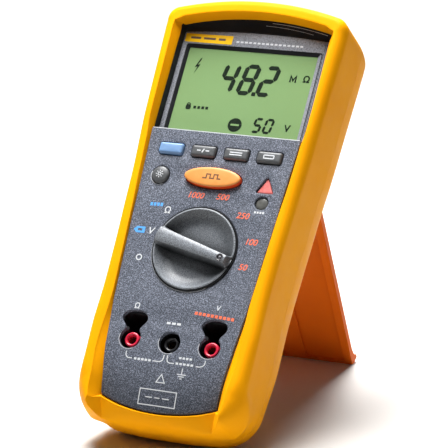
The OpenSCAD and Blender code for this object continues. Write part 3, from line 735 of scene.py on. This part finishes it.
def chin_cutter():
    """Scoop below the panel: its floor runs from the lip down to the bottom edge."""
    cols, slope, roof = 40, 0.72, 5.0
    grid = []
    for c in (-1 + 2 * j / cols for j in range(cols + 1)):
        lip = Vector((PANEL_FOOT * c, lip_y(PANEL_FOOT * c)))
        out = bottom_at(26.3 * c)
        long = (lip - out).length
        inward = (lip - out) / long
        z = dip(lip.y, lip.x) + 0.45
        end = ease(0.5, 1.0, abs(c))
        floor = [(long + 3.0, z), (long, z), (long - 0.45, z), (long - 0.75, z)]
        curve = ((long - 0.75, z), (long * 0.4, z - 0.29 * long), (0.0, z - 4.4 + 1.2 * end),
                 (-0.5 * end, -15.5 + 5.0 * end))
        floor += [bezier(*curve, k / 16) for k in range(1, 17)] + [(-5.0, -16.0 + 4.6 * end)]
        grid.append([(out.x + inward.x * u, out.y + inward.y * u, z) for u, z in floor])
    # Side walls lean outwards; a roof closes the cutter
    walls = [[(x + math.copysign(slope * (roof - z), row[0][0]), y, roof) for x, y, z in row]
             for row in (grid[0], grid[-1])]
    cutter = rings([walls[0]] + grid + [walls[1]], closed_cols=False)
    with editing(cutter) as bm:
        bmesh.ops.holes_fill(bm, edges=[e for e in bm.edges if e.is_boundary], sides=0)
    return weld(cutter)


front = cut(rings(all_round(front_section)), chin_cutter())
piece("front_shell", front, "yellow_shell", "overmould", sharp=30)


# ---------- rear shell
BACK_ANGLES = [12.5, 16] + list(range(21, 82, 6)) + [86, 90]


def rear_section(outer, inner):
    """Curve of the back, from the parting line inwards."""
    draw_in = BACK_IN_FOOT + (BACK_IN_SIDE - BACK_IN_FOOT) * ease(10, 40, outer[1])
    curve = [(draw_in * (1 - cos(radians(a))), SIDE_Z - BACK_DROP * sin(radians(a))) for a in BACK_ANGLES]
    return [(0.07, REAR_Z)] + curve[1:]


def leaf_foot():
    """Local height of the stand's foot when it is folded flat."""
    lo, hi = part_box("tilt_stand")
    pivot = Vector(JOINT["stand_fold"]["pos_m"])
    return PIVOT_Y - sqrt((pivot.z - lo.z) ** 2 + (hi.y - pivot.y) ** 2) * 1000


def build_rear():
    around = all_round(rear_section)
    m = rings([list(row) for row in zip(*around)], closed_rows=False, caps=True)
    foot = leaf_foot() - 0.8
    recess = mirrored([(29.6, foot), (33.4, 50), (33.4, 134.6)])
    bay = (-30.6, 30.6, 51.6, 126.4)
    m = cut(m, plate([recess], -42, RECESS_FLOOR))
    m = cut(m, block(-31.8, 31.8, 49.9, 127.9, RECESS_FLOOR - 1, DOOR_FLOOR))
    m = cut(m, block(*bay, -35, -20))
    pin = peg(PIN_R, -PIN_HALF, PIN_HALF, n=32)
    pin.transform(Matrix.Translation((0, PIVOT_Y, PIVOT_Z)) @ Matrix.Rotation(radians(90), 4, "Y"))
    m = cut(m, pin)
    for x, y in SCREWS:
        m = cut(m, revolve([(0, -41), (3.3, -41), (3.3, -31), (1.7, -31), (1.7, -20), (0, -20)], x, y, 40))
    # Bay liner above the parting line
    m = joined(m, cut(block(-31.8, 31.8, 50.4, 127.6, REAR_Z - 0.05, -17.1), block(*bay, -30, -18.3)))
    # The lower back edge rests flat on the floor
    m.transform(PLACE)
    for v in m.vertices:
        v.co.z = max(v.co.z, 0.0)
    m.transform(PLACE.inverted())
    return m


piece("rear_shell", build_rear(), "yellow_shell", "rear_case", sharp=30)


# ---------- control panel
def keyhole(cx):
    """Socket well with the probe port above it, as one opening."""
    half = [(3.45, 3.62), (3.5, 4.5), (3.95, 5.5), (4.9, 6.8), (5.75, 8.0), (6.05, 9.1), (5.85, 10.2),
            (5.1, 11.3), (3.8, 12.2), (2.0, 12.75), (0, 12.9)]
    a = math.degrees(math.atan2(half[0][1], half[0][0]))
    well = arc(0, 0, WELL_R, 180 - a, 360 + a, 44)
    cap = smooth_line(half)
    cap = cap + [(-x, y) for x, y in reversed(cap[:-1])]
    return moved(well + cap[1:-1], (cx, JACK_Y))


def panel_outline(shrink=0.0):
    xs = [PANEL_FOOT * i / 14 for i in range(14)]
    half = [(x, lip_y(x) + shrink) for x in xs]
    ys = (11.8 + shrink, 15, 20, 26, 33, 40, 47, 54, 64, 75, 85, 96, 110, 125, 134)
    half += [(panel_side(y) - shrink, y) for y in ys]
    half += [(36.3 - shrink, STEP_Y - 0.9), (36.2 - shrink, STEP_Y - shrink), (0, STEP_Y - shrink)]
    return mirrored(half)


def ledge_outline():
    xs = [PANEL_FOOT * i / 10 for i in range(10)]
    half = [(x * 1.02, lip_y(x) - 0.4) for x in xs]
    half += [(panel_side(y) + 0.9, y) for y in (10.5, 20, 33, 54, 75, 96, 110, 125, 134)]
    return mirrored(half + [(37.2, STEP_Y - 0.1), (0, STEP_Y - 0.1)])


def key_x(i):
    """Middle of key 0 to 3."""
    return (i - 1.5) * KEY_P


def build_panel():
    holes = [round_rect(key_x(i), KEY_Y, 12.5, 6.1, 1.3) for i in range(4)]
    holes += [ellipse(0, TEST_Y, TEST_A + 0.35, TEST_B + 0.35, 96), ellipse(*LIGHT, 4.45, 4.45, 48),
              ellipse(*PASS, 3.2, 3.2, 40), ellipse(0, KNOB_Y, 20.12, 20.12, 120),
              ellipse(0, JACK_Y, WELL_R, WELL_R, 56), keyhole(-JACK_P), keyhole(JACK_P),
              moved(rounded([(-4.6, -3.6), (4.6, -3.6), (0, 4.8)], 0.7), WARNING)]
    face = plate([panel_outline()] + holes, -2.4, 0, 0.38, 3)
    ledge = plate([ledge_outline(), panel_outline(1.2)], -2.4, -LEDGE - 0.25)
    step = block(-36.2, 36.2, STEP_Y - 1.7, STEP_Y - 0.05, -7.2, -1.2)
    return joined(follow_dip(face), follow_dip(ledge), step)


piece("control_panel", build_panel(), "grey_panel", "front_case", sharp=35)


# ---------- display recess
WINDOW_Y, GLASS_Y, GLASS_X = 160.9, 160.6, -0.5


def mask_top(x):
    return 190.4 - 1.6 * (x / 35) ** 2


def surround_path():
    """Half the recess wall: point under the rim, point at the mask, and the height of the first."""
    side_z, crown_z = -2.2, -5.0
    path = []
    for t in (i / 12 for i in range(13)):
        y = STEP_Y + (189.6 - STEP_Y) * t
        path.append(((36.75, y), (35.9, min(y, 188.2)), side_z))
    for i in range(1, 9):
        a = radians(RECESS_TO * i / 8)
        outer = (RECESS[0] + 2.85 * cos(a), RECESS[1] + 2.6 * sin(a))
        path.append((outer, (35.9 - 0.6 * i / 8, mask_top(35)), side_z - 2.8 * ease(0, 8, i)))
    for i in range(1, 21):
        outer = on_circle((0, CROWN_CY), RECESS_R, RECESS_TO + (90 - RECESS_TO) * i / 20)
        path.append((outer, (outer[0], mask_top(outer[0])), crown_z))
    return path


def build_surround():
    half = surround_path()
    other = [((-a[0], a[1]), (-b[0], b[1]), z) for a, b, z in reversed(half[:-1])]
    rows = []
    for (ox, oy), (ix, iy), z in half + other:
        sag = 0.35 if z < -4 else 0.1
        section = []
        for t in (k / 6 for k in range(7)):
            down = (MASK_Z - 0.25 - z) * t - sag * sin(pi * t)
            section.append((ox + (ix - ox) * t, oy + (iy - oy) * t, z + down))
        d = Vector((ox - ix, oy - iy)).normalized() * 0.8
        section += [(ix, iy, MASK_Z - 1.2), (ox + d.x, oy + d.y, MASK_Z - 1.2), (ox + d.x, oy + d.y, z)]
        rows.append(section)
    return rings(rows, closed_rows=False, caps=True)


def build_mask():
    arch = [35.4 * (1 - i / 12) for i in range(13)]
    outline = mirrored([(0, STEP_Y + 0.05), (36.0, STEP_Y + 0.05), (36.0, 188.0)]
                       + [(x, mask_top(x) + 0.1) for x in arch])
    low, high = 138.4, 183.2
    window = round_rect(0, (low + high) / 2, 2 * 33.7, high - low, 1.1)
    return plate([outline, window], MASK_Z - 1.3, MASK_Z, 0.15, 2)


def build_border():
    """Frame that slopes down from the mask to the display glass."""
    outer = round_rect(0, WINDOW_Y, 67.6, 45.0, 1.2, 8)
    inner = round_rect(GLASS_X, GLASS_Y, 63.5, 42.0, 0.5, 8)
    rows = []
    for (ox, oy), (ix, iy) in zip(outer, inner):
        rows.append([(ox, oy, MASK_Z - 0.08), ((ox * 3 + ix) / 4, (oy * 3 + iy) / 4, MASK_Z - 0.22),
                     (ix + (ox - ix) * 0.1, iy + (oy - iy) * 0.1, MASK_Z - 1.2), (ix, iy, MASK_Z - 1.3),
                     (ix, iy, MASK_Z - 1.36), (ox, oy, MASK_Z - 1.36)])
    return rings(rows)


piece("recess_trim", build_surround(), "black_trim", "display_surround")
piece("display_bezel", build_mask(), "grey_mask", "display_mask", sharp=32)
border = piece("window_frame", build_border(), ["black_trim", "grey_mask"], "window_border", sharp=25)
# Painted shade: the frame's walls are black where they lie in shade; only the right-hand wall, which faces
# the light, keeps the mask's grey
side_normal = TURN @ Vector((1, 0, 0))
for face in border.data.polygons:
    if face.normal.dot(side_normal) < -0.25 and (PLACE.inverted() @ face.center).x > 20:
        face.material_index = 1
glass = plate([round_rect(GLASS_X, GLASS_Y, 63.4, 41.9, 0.5)], MASK_Z - 1.3, MASK_Z - 1.05, 0.05, 1)
piece("window_lens", glass, "clear_lens", "display_lens", sharp=32)


# ---------- display figures
FIGURE_Z, FIGURE_TOP = -7.09, -7.02


def seg_digit(x, y, w, h, on, thick, lean=0.17, gap=0.1):
    """Seven-segment figure with its lower left corner at x, y."""
    k = thick / 2
    middle = h / 2
    ends = {"a": (0, h, w, h), "b": (w, middle, w, h), "c": (w, 0, w, middle), "d": (0, 0, w, 0),
            "e": (0, 0, 0, middle), "f": (0, middle, 0, h), "g": (0, middle, w, middle)}

    def bar(x0, y0, x1, y1):
        d = Vector((x1 - x0, y1 - y0)).normalized()
        n = Vector((-d.y, d.x)) * k
        a, b = Vector((x0, y0)) + d * gap, Vector((x1, y1)) - d * gap
        pts = [a, a + d * k + n, b - d * k + n, b, b - d * k - n, a + d * k - n]
        return [(x + p.x + lean * p.y, y + p.y) for p in pts]
    return [bar(*ends[s]) for s in on]


def display_strokes(lines, width):
    return strokes(lines, width, FIGURE_Z, 0.07)


def build_figures():
    shapes = []
    for x, on in ((-13.1, "bcfg"), (-3.3, "abcdefg"), (6.4, "abdeg")):
        shapes += seg_digit(x, 161.0, 5.7, 13.5, on, 2.1)
    for x, on in ((8.6, "acdfg"), (13.9, "abcdef")):
        shapes += seg_digit(x, 142.6, 3.2, 6.4, on, 1.15)
    point = round_rect(4.8, 160.9, 1.9, 1.9, 0.2, 2)
    flash = [(-25.4, 176.6), (-27.4, 171.9), (-26.0, 172.4), (-27.0, 168.9), (-24.9, 173.6), (-26.2, 173.2),
             (-24.7, 176.6)]
    disc = ellipse(-0.2, 145.0, 3.35, 3.35, 40)
    lock = round_rect(-25.2, 151.9, 2.5, 2.5, 0.9, 5)
    shackle = display_strokes([arc(-25.2, 153.0, 0.85, 0, 180, 10)], 0.4)
    letter = [(20.7, 168.3), (20.7, 171.4), (22.0, 169.2), (23.3, 171.4), (23.3, 168.3)]
    word = display_strokes([[(-22.6 + 2.0 * i, 152.0), (-21.3 + 2.0 * i, 152.0)] for i in range(4)], 1.3)
    ohm = text("Ω", 28.4, 170.1, 4.4, FIGURE_Z, height=0.07, weight=0.14)
    volt = text("V", 25.2, 145.4, 4.6, FIGURE_Z, height=0.07, weight=0.12)
    return joined(plate(shapes + [point, flash, disc, lock], FIGURE_Z, FIGURE_TOP), shackle,
                  display_strokes([letter], 0.8), word, ohm, volt)


disc_mark = plate([round_rect(-0.2, 145.0, 4.2, 0.9, 0.3, 3)], FIGURE_TOP - 0.01, FIGURE_TOP + 0.03)
drawn("display_figures", build_figures(), "ink_dark")
drawn("display_disc_mark", disc_mark, "lcd_green")


# ---------- lines and label round the display
def level(y, *runs):
    """Level lines at y, each from one x to another."""
    return [[(x0, y), (x1, y)] for x0, x1 in runs]


grooves = [[(x, 138.6), (x, top)] for x, top in ((34.1, 187.2), (34.8, 187.6), (35.4, 187.8))]
drawn("bezel_grooves", strokes(grooves, 0.24, MASK_Z - 0.01), "black_trim")
# Painted highlights: thin silver lines along the brow and along the panel's top edge
painted_glint = [(x, CROWN_CY + sqrt((RECESS_R - 1.0) ** 2 - x * x)) for x in range(6, 35, 2)]
drawn("brow_edge_painted_highlight", strokes([painted_glint], 0.17, -5.25, 0.12), "silver_line")
painted_glint = [(x, 194.6 - 0.0039 * x * x) for x in range(3, 29, 2)]
drawn("brow_line_painted_highlight", strokes([painted_glint], 0.13, -5.42, 0.1), "silver_line")
drawn("panel_edge_painted_highlight", strokes(level(STEP_Y - 0.3, (-35.8, 35.8)), 0.34, -0.06, 0.1), "silver_line")
# Plain name plate with three bars, and a row of ticks in place of the title
tag = rounded([(-35.2, 183.9), (-11.6, 183.9), (-11.6, 188.3), (-35.2, 188.1)], 0.3, 3)
piece("plain_label", plate([tag], MASK_Z, MASK_Z + 0.12, 0.03, 1), "label_gold", sharp=32)
bars = level(186.1, (-32.5, -27.5), (-26.0, -20.0), (-18.5, -15.0))
drawn("plain_label_bars", strokes(bars, 1.1, MASK_Z + 0.12, 0.04), "ink_brown")
ticks = level(185.6, *[(-9.5 + i * 2.1, -8.1 + i * 2.1) for i in range(16)])
drawn("title_ticks", strokes(ticks, 0.85, MASK_Z), "ink_white")


# ---------- keys
KEY_SECTION = [(0.0, -3.2), (0.0, 0.15), (0.07, 0.5), (0.25, 0.85), (0.55, 1.12), (0.95, 1.27)]
FLANGE_Z, FLANGE_TOP = -3.75, -2.85
STEM_Z, STEM_TOP = -10.8, -3.5


def dished(outline, section, cx, cy, crown, top):
    """Button: outline carried up the section, then a softly crowned top."""
    n = len(outline)
    rows = []
    for inset, z in section:
        row = []
        for i, (x, y) in enumerate(outline):
            t = (Vector(outline[(i + 1) % n]) - Vector(outline[i - 1])).normalized()
            row.append((x - t.y * inset, y + t.x * inset, z))
        rows.append(row)
    last = rows[-1]
    for k in (0.85, 0.6, 0.3, 0.08):
        rows.append([(cx + (x - cx) * k, cy + (y - cy) * k, top + crown * (1 - k * k)) for x, y, z in last])
    return rings(rows, closed_rows=False, caps=True)


def domed(r, steps, base, rise):
    """Profile of a domed top from radius r to the axis."""
    return [(r * (1 - k / steps), base + rise * (1 - (1 - k / steps) ** 2)) for k in range(steps + 1)]


def build_key(cx):
    cap = dished(round_rect(cx, KEY_Y, 11.8, 5.4, 1.1), KEY_SECTION, cx, KEY_Y, 0.08, 1.28)
    flange = plate([round_rect(cx, KEY_Y, 13.8, 7.4, 1.5)], FLANGE_Z, FLANGE_TOP)
    return joined(cap, flange, peg(1.6, STEM_Z, STEM_TOP, cx, KEY_Y))


KEY_SIGNS = {1: level(0, (-3, -1.2), (1.2, 3)) + [[(-0.4, -0.9), (0.4, 0.9)]],
             2: level(0.55, (-3, 3)) + level(-0.55, (-3, 3)),
             3: level(-0.75, (-2.4, 2.4)) + level(0.75, (-2.4, 2.4))
             + [[(x, -0.75), (x, 0.75)] for x in (-2.4, 2.4)]}
for i, body in enumerate(("first_key", "second_key", "third_key", "fourth_key")):
    colour = "dark_key" if i else "blue_key"
    piece(f"key_cap_{i + 1}", build_key(key_x(i)), colour, f"key_{i + 1}", body, sharp=35)
    if i:
        lines = [moved(line, (key_x(i), KEY_Y)) for line in KEY_SIGNS[i]]
        drawn(f"key_sign_{i + 1}", strokes(lines, 0.5, 1.30, 0.08), "ink_white", body)


# ---------- light key
light = [(0, FLANGE_Z), (5.1, FLANGE_Z), (5.1, -2.75), (4.1, -2.75), (4.1, 0.35), (4.0, 0.62), (3.75, 0.85)]
light = revolve(light + domed(3.6, 8, 0.98, 0.55), *LIGHT, 56)
light = joined(light, peg(1.6, STEM_Z, STEM_TOP, *LIGHT))
piece("light_key_cap", light, "dark_key", "light_key", "backlight_key")
rays = [[on_circle(LIGHT, r, 45 * k) for r in (1.15, 1.85)] for k in range(8)]
sun = strokes(rays + [arc(*LIGHT, 0.7, 0, 360, 16)], 0.3, 1.45, 0.1)
drawn("light_key_sign", sun, "ink_white", "backlight_key")


# ---------- test button
oval = ellipse(0, TEST_Y, TEST_A, TEST_B, 96)
skirt = dished(oval, [(0.0, -3.2), (0.0, 1.55), (0.08, 1.8)], 0, TEST_Y, 0.0, 1.8)
top = dished(oval, [(0.08, 1.8), (0.25, 2.02), (0.5, 2.16), (0.9, 2.26)], 0, TEST_Y, 0.12, 2.27)
flange = plate([ellipse(0, TEST_Y, TEST_A + 1, TEST_B + 1)], FLANGE_Z, FLANGE_TOP)
skirt = joined(skirt, flange, peg(2, STEM_Z, STEM_TOP, 0, TEST_Y))
piece("test_button_skirt", skirt, "orange_skirt", body="test_key", sharp=32)
piece("test_button_cap", top, "orange_key", "test_button", "test_key")
low, high = -0.9, 1.0
pulse = [(-4.4, low), (-2.6, low), (-2.6, high), (-0.8, high), (-0.8, low), (1.0, low), (1.0, high),
         (2.8, high), (2.8, low), (4.4, low)]
drawn("test_button_sign", strokes([moved(pulse, (0, TEST_Y))], 0.62, 2.36, 0.06), "ink_brown", "test_key")


# ---------- lamps
triangle = moved(rounded([(-4.1, -3.35), (4.1, -3.35), (0, 4.3)], 0.5), WARNING)
lens = [(0, -3.2), (0, -1.25), (0.15, -1.0), (0.45, -0.86)]
lens = dished(triangle, lens, WARNING[0], 114.0, 0.05, -0.84)
piece("warning_lens_cap", lens, "red_lens", "warning_lens")
lens = [(0, -3.2), (3.15, -3.2), (3.15, -1.4), (3.0, -1.1), (2.7, -0.95)] + domed(2.4, 6, -0.85, 0.2)
piece("pass_lens_cap", revolve(lens, *PASS, 48), "grey_lens", "pass_lens")


# ---------- selector
KNOB_PLACE = Matrix.Translation((0, KNOB_Y, 0)) @ Matrix.Rotation(radians(BAR_TURN), 4, "Z")
RIM_R = KNOB_R - 0.75           # where the flat rim meets the finger bowls
CROWN, WALL = 0.7, 1.1          # rounding over the bar, and width of its wall
POINTER_X = 15.0


def bar_half(x):
    return 2.62 - 0.0405 * x


def bar_top(x):
    z = 3.3 + 0.03 * (x + 19)
    return z - (z - RIM) * ease(17.3, 18.9, x)


def bowl_z(r):
    """Floor of the finger bowls by radius."""
    flat_r, depth = 11.5, 3.7
    if r > KNOB_R - 0.2:
        return RIM - 0.2
    if r > RIM_R:
        return RIM
    t = max(0.0, r - flat_r) / (RIM_R - flat_r)
    return RIM - depth * (1 - t ** 2.1)


def knob_z(x, y, half, wall):
    """Height of the knob's face: crowned bar, its wall, then the bowl."""
    r = sqrt(x * x + y * y)
    top, floor = bar_top(x), bowl_z(r)
    if y <= half + 1e-6:
        z = top - CROWN * (y / max(half, 1e-6)) ** 2.2
    elif y <= wall + 1e-6:
        z = floor + (top - CROWN - floor) * (1 - (y - half) / max(wall - half, 1e-6)) ** 1.1
    else:
        z = floor
    return z - 0.35 if r > KNOB_R - 0.3 and z > RIM else z


def knob_column(x):
    """Points of the knob's face at x, from one rim over the bar to the other."""
    edge = sqrt(max(0.0, KNOB_R ** 2 - x * x))
    half = min(bar_half(x), edge * 0.995)
    wall = min(half + WALL, half + (edge - half) * 0.6)
    rim = max(wall + 0.01, min(edge - 0.01, sqrt(max(0.0, RIM_R ** 2 - x * x))))
    ys = [half * k for k in (0, 0.35, 0.65, 0.85, 0.94, 1.0)]
    ys += [half + (wall - half) * k for k in (0.12, 0.3, 0.5, 0.75, 1.0)]
    ys += [wall + (rim - wall) * k / 16 for k in range(1, 17)]
    ys += [rim + (edge - rim) * k for k in (0.15, 0.5, 0.85, 1.0)]
    one = [(x, y, knob_z(x, y, half, wall)) for y in ys]
    return [(x, -y, z) for x, y, z in reversed(one[1:])] + one


def build_knob():
    cols, skirt_z = 96, -5.6
    grid = [knob_column(KNOB_R * sin(radians(-88.5 + 177 * i / cols))) for i in range(cols + 1)]
    m = len(grid[0])
    verts = [p for column in grid for p in column]
    faces = [(i * m + k, (i + 1) * m + k, (i + 1) * m + k + 1, i * m + k + 1)
             for i in range(cols) for k in range(m - 1)]
    # The face's edge, all the way round, is carried down as the skirt
    edge = list(range(m)) + [i * m + m - 1 for i in range(1, cols + 1)]
    edge += [cols * m + k for k in range(m - 2, -1, -1)] + [i * m for i in range(cols - 1, 0, -1)]
    base, n = len(verts), len(edge)
    for x, y, z in [verts[k] for k in edge]:
        r = sqrt(x * x + y * y)
        verts.append((x * KNOB_R / r, y * KNOB_R / r, skirt_z))
    faces += [(edge[k], edge[(k + 1) % n], base + (k + 1) % n, base + k) for k in range(n)]
    faces.append(tuple(base + k for k in reversed(range(n))))
    shaft = peg(5.05, -12.2, -5.0, n=40)
    m = joined(cut(mesh_of(verts, faces), peg(1.75, 2.6, 12, POINTER_X, n=32)), shaft)
    m.transform(KNOB_PLACE)
    return m


def build_pointer():
    profile = [(0, 2.6), (1.7, 2.6), (1.7, 4.25), (1.55, 4.42), (1.3, 4.36), (1.15, 3.8), (0.95, 3.7),
               (0.75, 3.95), (0.45, 4.25), (0, 4.3)]
    m = revolve(profile, POINTER_X, 0, 40)
    m.transform(KNOB_PLACE)
    return m


piece("knob_cap", build_knob(), "knob_grey", "selector_knob", "knob", sharp=38)
piece("knob_pointer", build_pointer(), "pointer_grey", "pointer_mark", "knob")
collar = [(19.62, -2.6), (19.62, 0.5), (19.72, 0.62), (19.98, 0.62), (20.1, 0.5), (20.1, -2.4), (22, -2.4),
          (22, -3.4), (20.3, -3.4), (20.3, -7), (5.1, -7), (5.1, -6), (19.6, -6), (19.62, -2.6)]
piece("dial_collar", revolve(collar, 0, KNOB_Y, 120), "black_trim", "dial_ring")


# ---------- sockets
POST = [(2.03, -21), (3.4, -21), (3.4, -2.75), (3.25, -2.4), (2.95, -2.22), (2.6, -2.22), (2.25, -2.45),
        (2.06, -2.9), (2.03, -4.6), (2.03, -21)]
for name, xs, finish_name, node in (("posts_red", (-JACK_P, JACK_P), "red_socket", "socket_posts_outer"),
                                    ("post_black", (0,), "black_socket", "socket_post_middle")):
    posts = joined(*[revolve(POST, x, JACK_Y, 56) for x in xs])
    piece(name, posts, finish_name, node)


# ---------- printed marks
Z_INK, PRINT = 0.01, 0.42       # height of the print over the panel, and width of its thin lines


def marks(name, ink, *meshes):
    drawn(name, follow_dip(joined(*meshes)), ink)


def number(body, x, y, size=4.0, shear=0.2):
    return text(body, x, y, size, Z_INK, shear)


def dashes(x0, y0, x1, y1, count, thick, fill=0.68):
    """A row of short dashes in place of a word."""
    def at(t):
        return (x0 + (x1 - x0) * t, y0 + (y1 - y0) * t)
    return strokes([[at(i / count), at((i + fill) / count)] for i in range(count)], thick, Z_INK)


marks("scale_numbers", "ink_red",
      number("1000", -6.4, 106.4), number("500", 6.6, 106.8), number("250", 18.4, 99.0),
      number("100", 25.4, 87.2), number("50", 24.6, 75.2), dashes(8.2, 51.9, 27.6, 50.9, 10, 1.35))
# Brackets that tie the sockets together, an earth sign, a triangle and an empty box with dashes
BRACKETS = [[(-18.9, 30.9), (-18.9, 29.4), (-18.4, 28.5), (-17.5, 28.0), (-15.6, 28.0)],
            [(-5.6, 28.0), (-2.2, 28.0), (-1.2, 28.6), (-0.9, 29.6), (-0.8, 31.3)],
            [(0.8, 31.3), (0.9, 29.6), (1.3, 28.5), (2.2, 28.0), (4.6, 28.0)],
            [(14.9, 28.0), (16.6, 28.0), (18.0, 28.4), (18.8, 29.4), (18.9, 31.0)]]
EARTH = [[(9.2, 26.4), (9.2, 23.6)], *level(23.6, (7.1, 11.3)), *level(22.7, (7.9, 10.5)),
         *level(21.8, (8.7, 9.7))]
TRIANGLE = [[(-1.9, 19.0), (2.1, 19.0), (0.1, 22.6), (-1.9, 19.0)]]
BOX = [[(-8.7, 15.6), (8.7, 15.6), (8.7, 9.0), (-8.7, 9.0), (-8.7, 15.6)]]
BOX_DASHES = level(12.3, (-5.6, -2.4), (-1.2, 1.2), (2.4, 5.6))
marks("scale_white", "ink_white",
      strokes([arc(-25.3, 74.5, 1.25, 0, 360, 24)], 0.5, Z_INK), number("V", -23.2, 87.3, 4.6),
      number("Ω", -17.7, 97.9, 4.3, 0), number("Ω", -19.6, 51.8, 3.6, 0),
      number("V", 18.4, 55.2, 3.2, 0.1),
      dashes(23.2, 101.4, 28.4, 101.4, 4, 0.95), dashes(-3.6, 45.8, 3.8, 45.8, 3, 1.0, 0.72),
      dashes(-14.6, 28.0, -6.0, 28.0, 5, 1.0), dashes(5.4, 28.2, 14.2, 28.2, 5, 0.95),
      dashes(6.4, 30.8, 13.0, 30.8, 4, 0.95),
      strokes(BRACKETS + EARTH + TRIANGLE + BOX + BOX_DASHES, PRINT, Z_INK))
# Blue tag with a slot, beside the first range
tag = rounded([(-31.6, 87.5), (-30.0, 86.0), (-26.0, 86.0), (-26.0, 89.0), (-30.0, 89.0)], 0.3)
marks("scale_blue", "ink_blue", plate([tag, round_rect(-28.4, 87.5, 2.2, 1.2, 0.3, 3)], Z_INK, Z_INK + 0.05),
      dashes(-26.8, 100.2, -20.2, 100.4, 4, 1.6))
# Painted highlights: light arcs on the lower left edges round the wells, the selector and the light key
EDGES = [arc(x, JACK_Y, 5.12, 165, 300, 24) for x in (-JACK_P, 0, JACK_P)]
EDGES += [arc(0, KNOB_Y, 20.25, 150, 300, 60), arc(*LIGHT, 4.6, 160, 300, 16)]
marks("painted_edge_highlights", "edge_grey", strokes(EDGES, 0.28, -0.02, 0.09))


# ---------- CAD shapes with softened edges
for name, node, width, segments, body, material in (
        ("stand_leaf", "tilt_stand", 0.45, 3, "stand", "yellow_stand"),
        ("door_panel", "battery_door", 0.25, 2, "door", "grey_door"),
        ("lock_left", "door_lock_left", 0.15, 2, "left_lock", "steel_parts"),
        ("lock_right", "door_lock_right", 0.15, 2, "right_lock", "steel_parts"),
        ("body_screws", "case_screws", 0.12, 2, "meter", "steel_parts")):
    soft = piece(name, soften(node, width, segments), material, node, body)
    flat = soft.modifiers.new("flat_faces", "WEIGHTED_NORMAL")
    flat.keep_sharp = True
    flat.weight = 80

# ---------- CAD nodes that stay, by material
CAD_FINISH = {"lcd_green": ["lcd_cell"], "grey_rubber": ["keypad_mat"], "black_trim": ["sounder"],
              "white_plastic": ["lcd_backlight", "knob_rotor", "indicator_lamps", "relays"],
              "black_rubber": ["contact_strips", "case_gasket"], "black_socket": ["jack_block"],
              "brass_parts": ["wiper_contacts", "socket_tubes", "port_contacts"],
              "steel_parts": ["detent_spring", "fuse_clips", "cell_contacts"], "winding_tan": ["converter"],
              "board_green": ["main_board"], "fuse_ceramic": ["fuse"], "cell_jacket": ["cells"]}
for material, nodes in CAD_FINISH.items():
    for node in nodes:
        data = frame["nodes"][node].data
        data.materials.clear()
        data.materials.append(MATERIALS[material])

# ---------- floor and light
HALF_FLOOR = 6
floor_data = bpy.data.meshes.new("floor")
corners = [(x * HALF_FLOOR, y * HALF_FLOOR, 0) for x, y in ((-1, -1), (1, -1), (1, 1), (-1, 1))]
floor_data.from_pydata(corners, [], [(0, 1, 2, 3)])
floor = placed("floor", floor_data)
paper = Mat("floor_paper", (0.60, 0.59, 0.57), 0.9, spec=0.05).fleck(3, (0.585, 0.575, 0.555), 0.3)
floor_data.materials.append(paper.material)

world = bpy.data.worlds.new("world")
bpy.context.scene.world = world
world.use_nodes = True
world.node_tree.nodes["Background"].inputs["Color"].default_value = (1.0, 0.99, 0.97, 1)
world.node_tree.nodes["Background"].inputs["Strength"].default_value = 0.08


def lamp(name, at, aim, size, power):
    d = bpy.data.lights.new(name, "AREA")
    d.shape = "RECTANGLE"
    d.size, d.size_y = size
    d.energy = power
    o = placed(name, d)
    o.location = at
    o.rotation_mode = "QUATERNION"
    o.rotation_quaternion = (Vector(aim) - Vector(at)).to_track_quat("-Z", "Y")


lamp("key", (-0.17, 0.08, 0.94), (0, -0.02, 0.08), (0.5, 0.4), 21)
lamp("overhead", (-0.25, 0.9, 2.0), (-0.25, 0.9, 0), (0.7, 1.8), 36)
lamp("backdrop", (-0.6, 1.9, 1.6), (0.0, 1.6, 0), (1.2, 1.0), 34)
bpy.context.scene.view_settings.view_transform = "Standard"
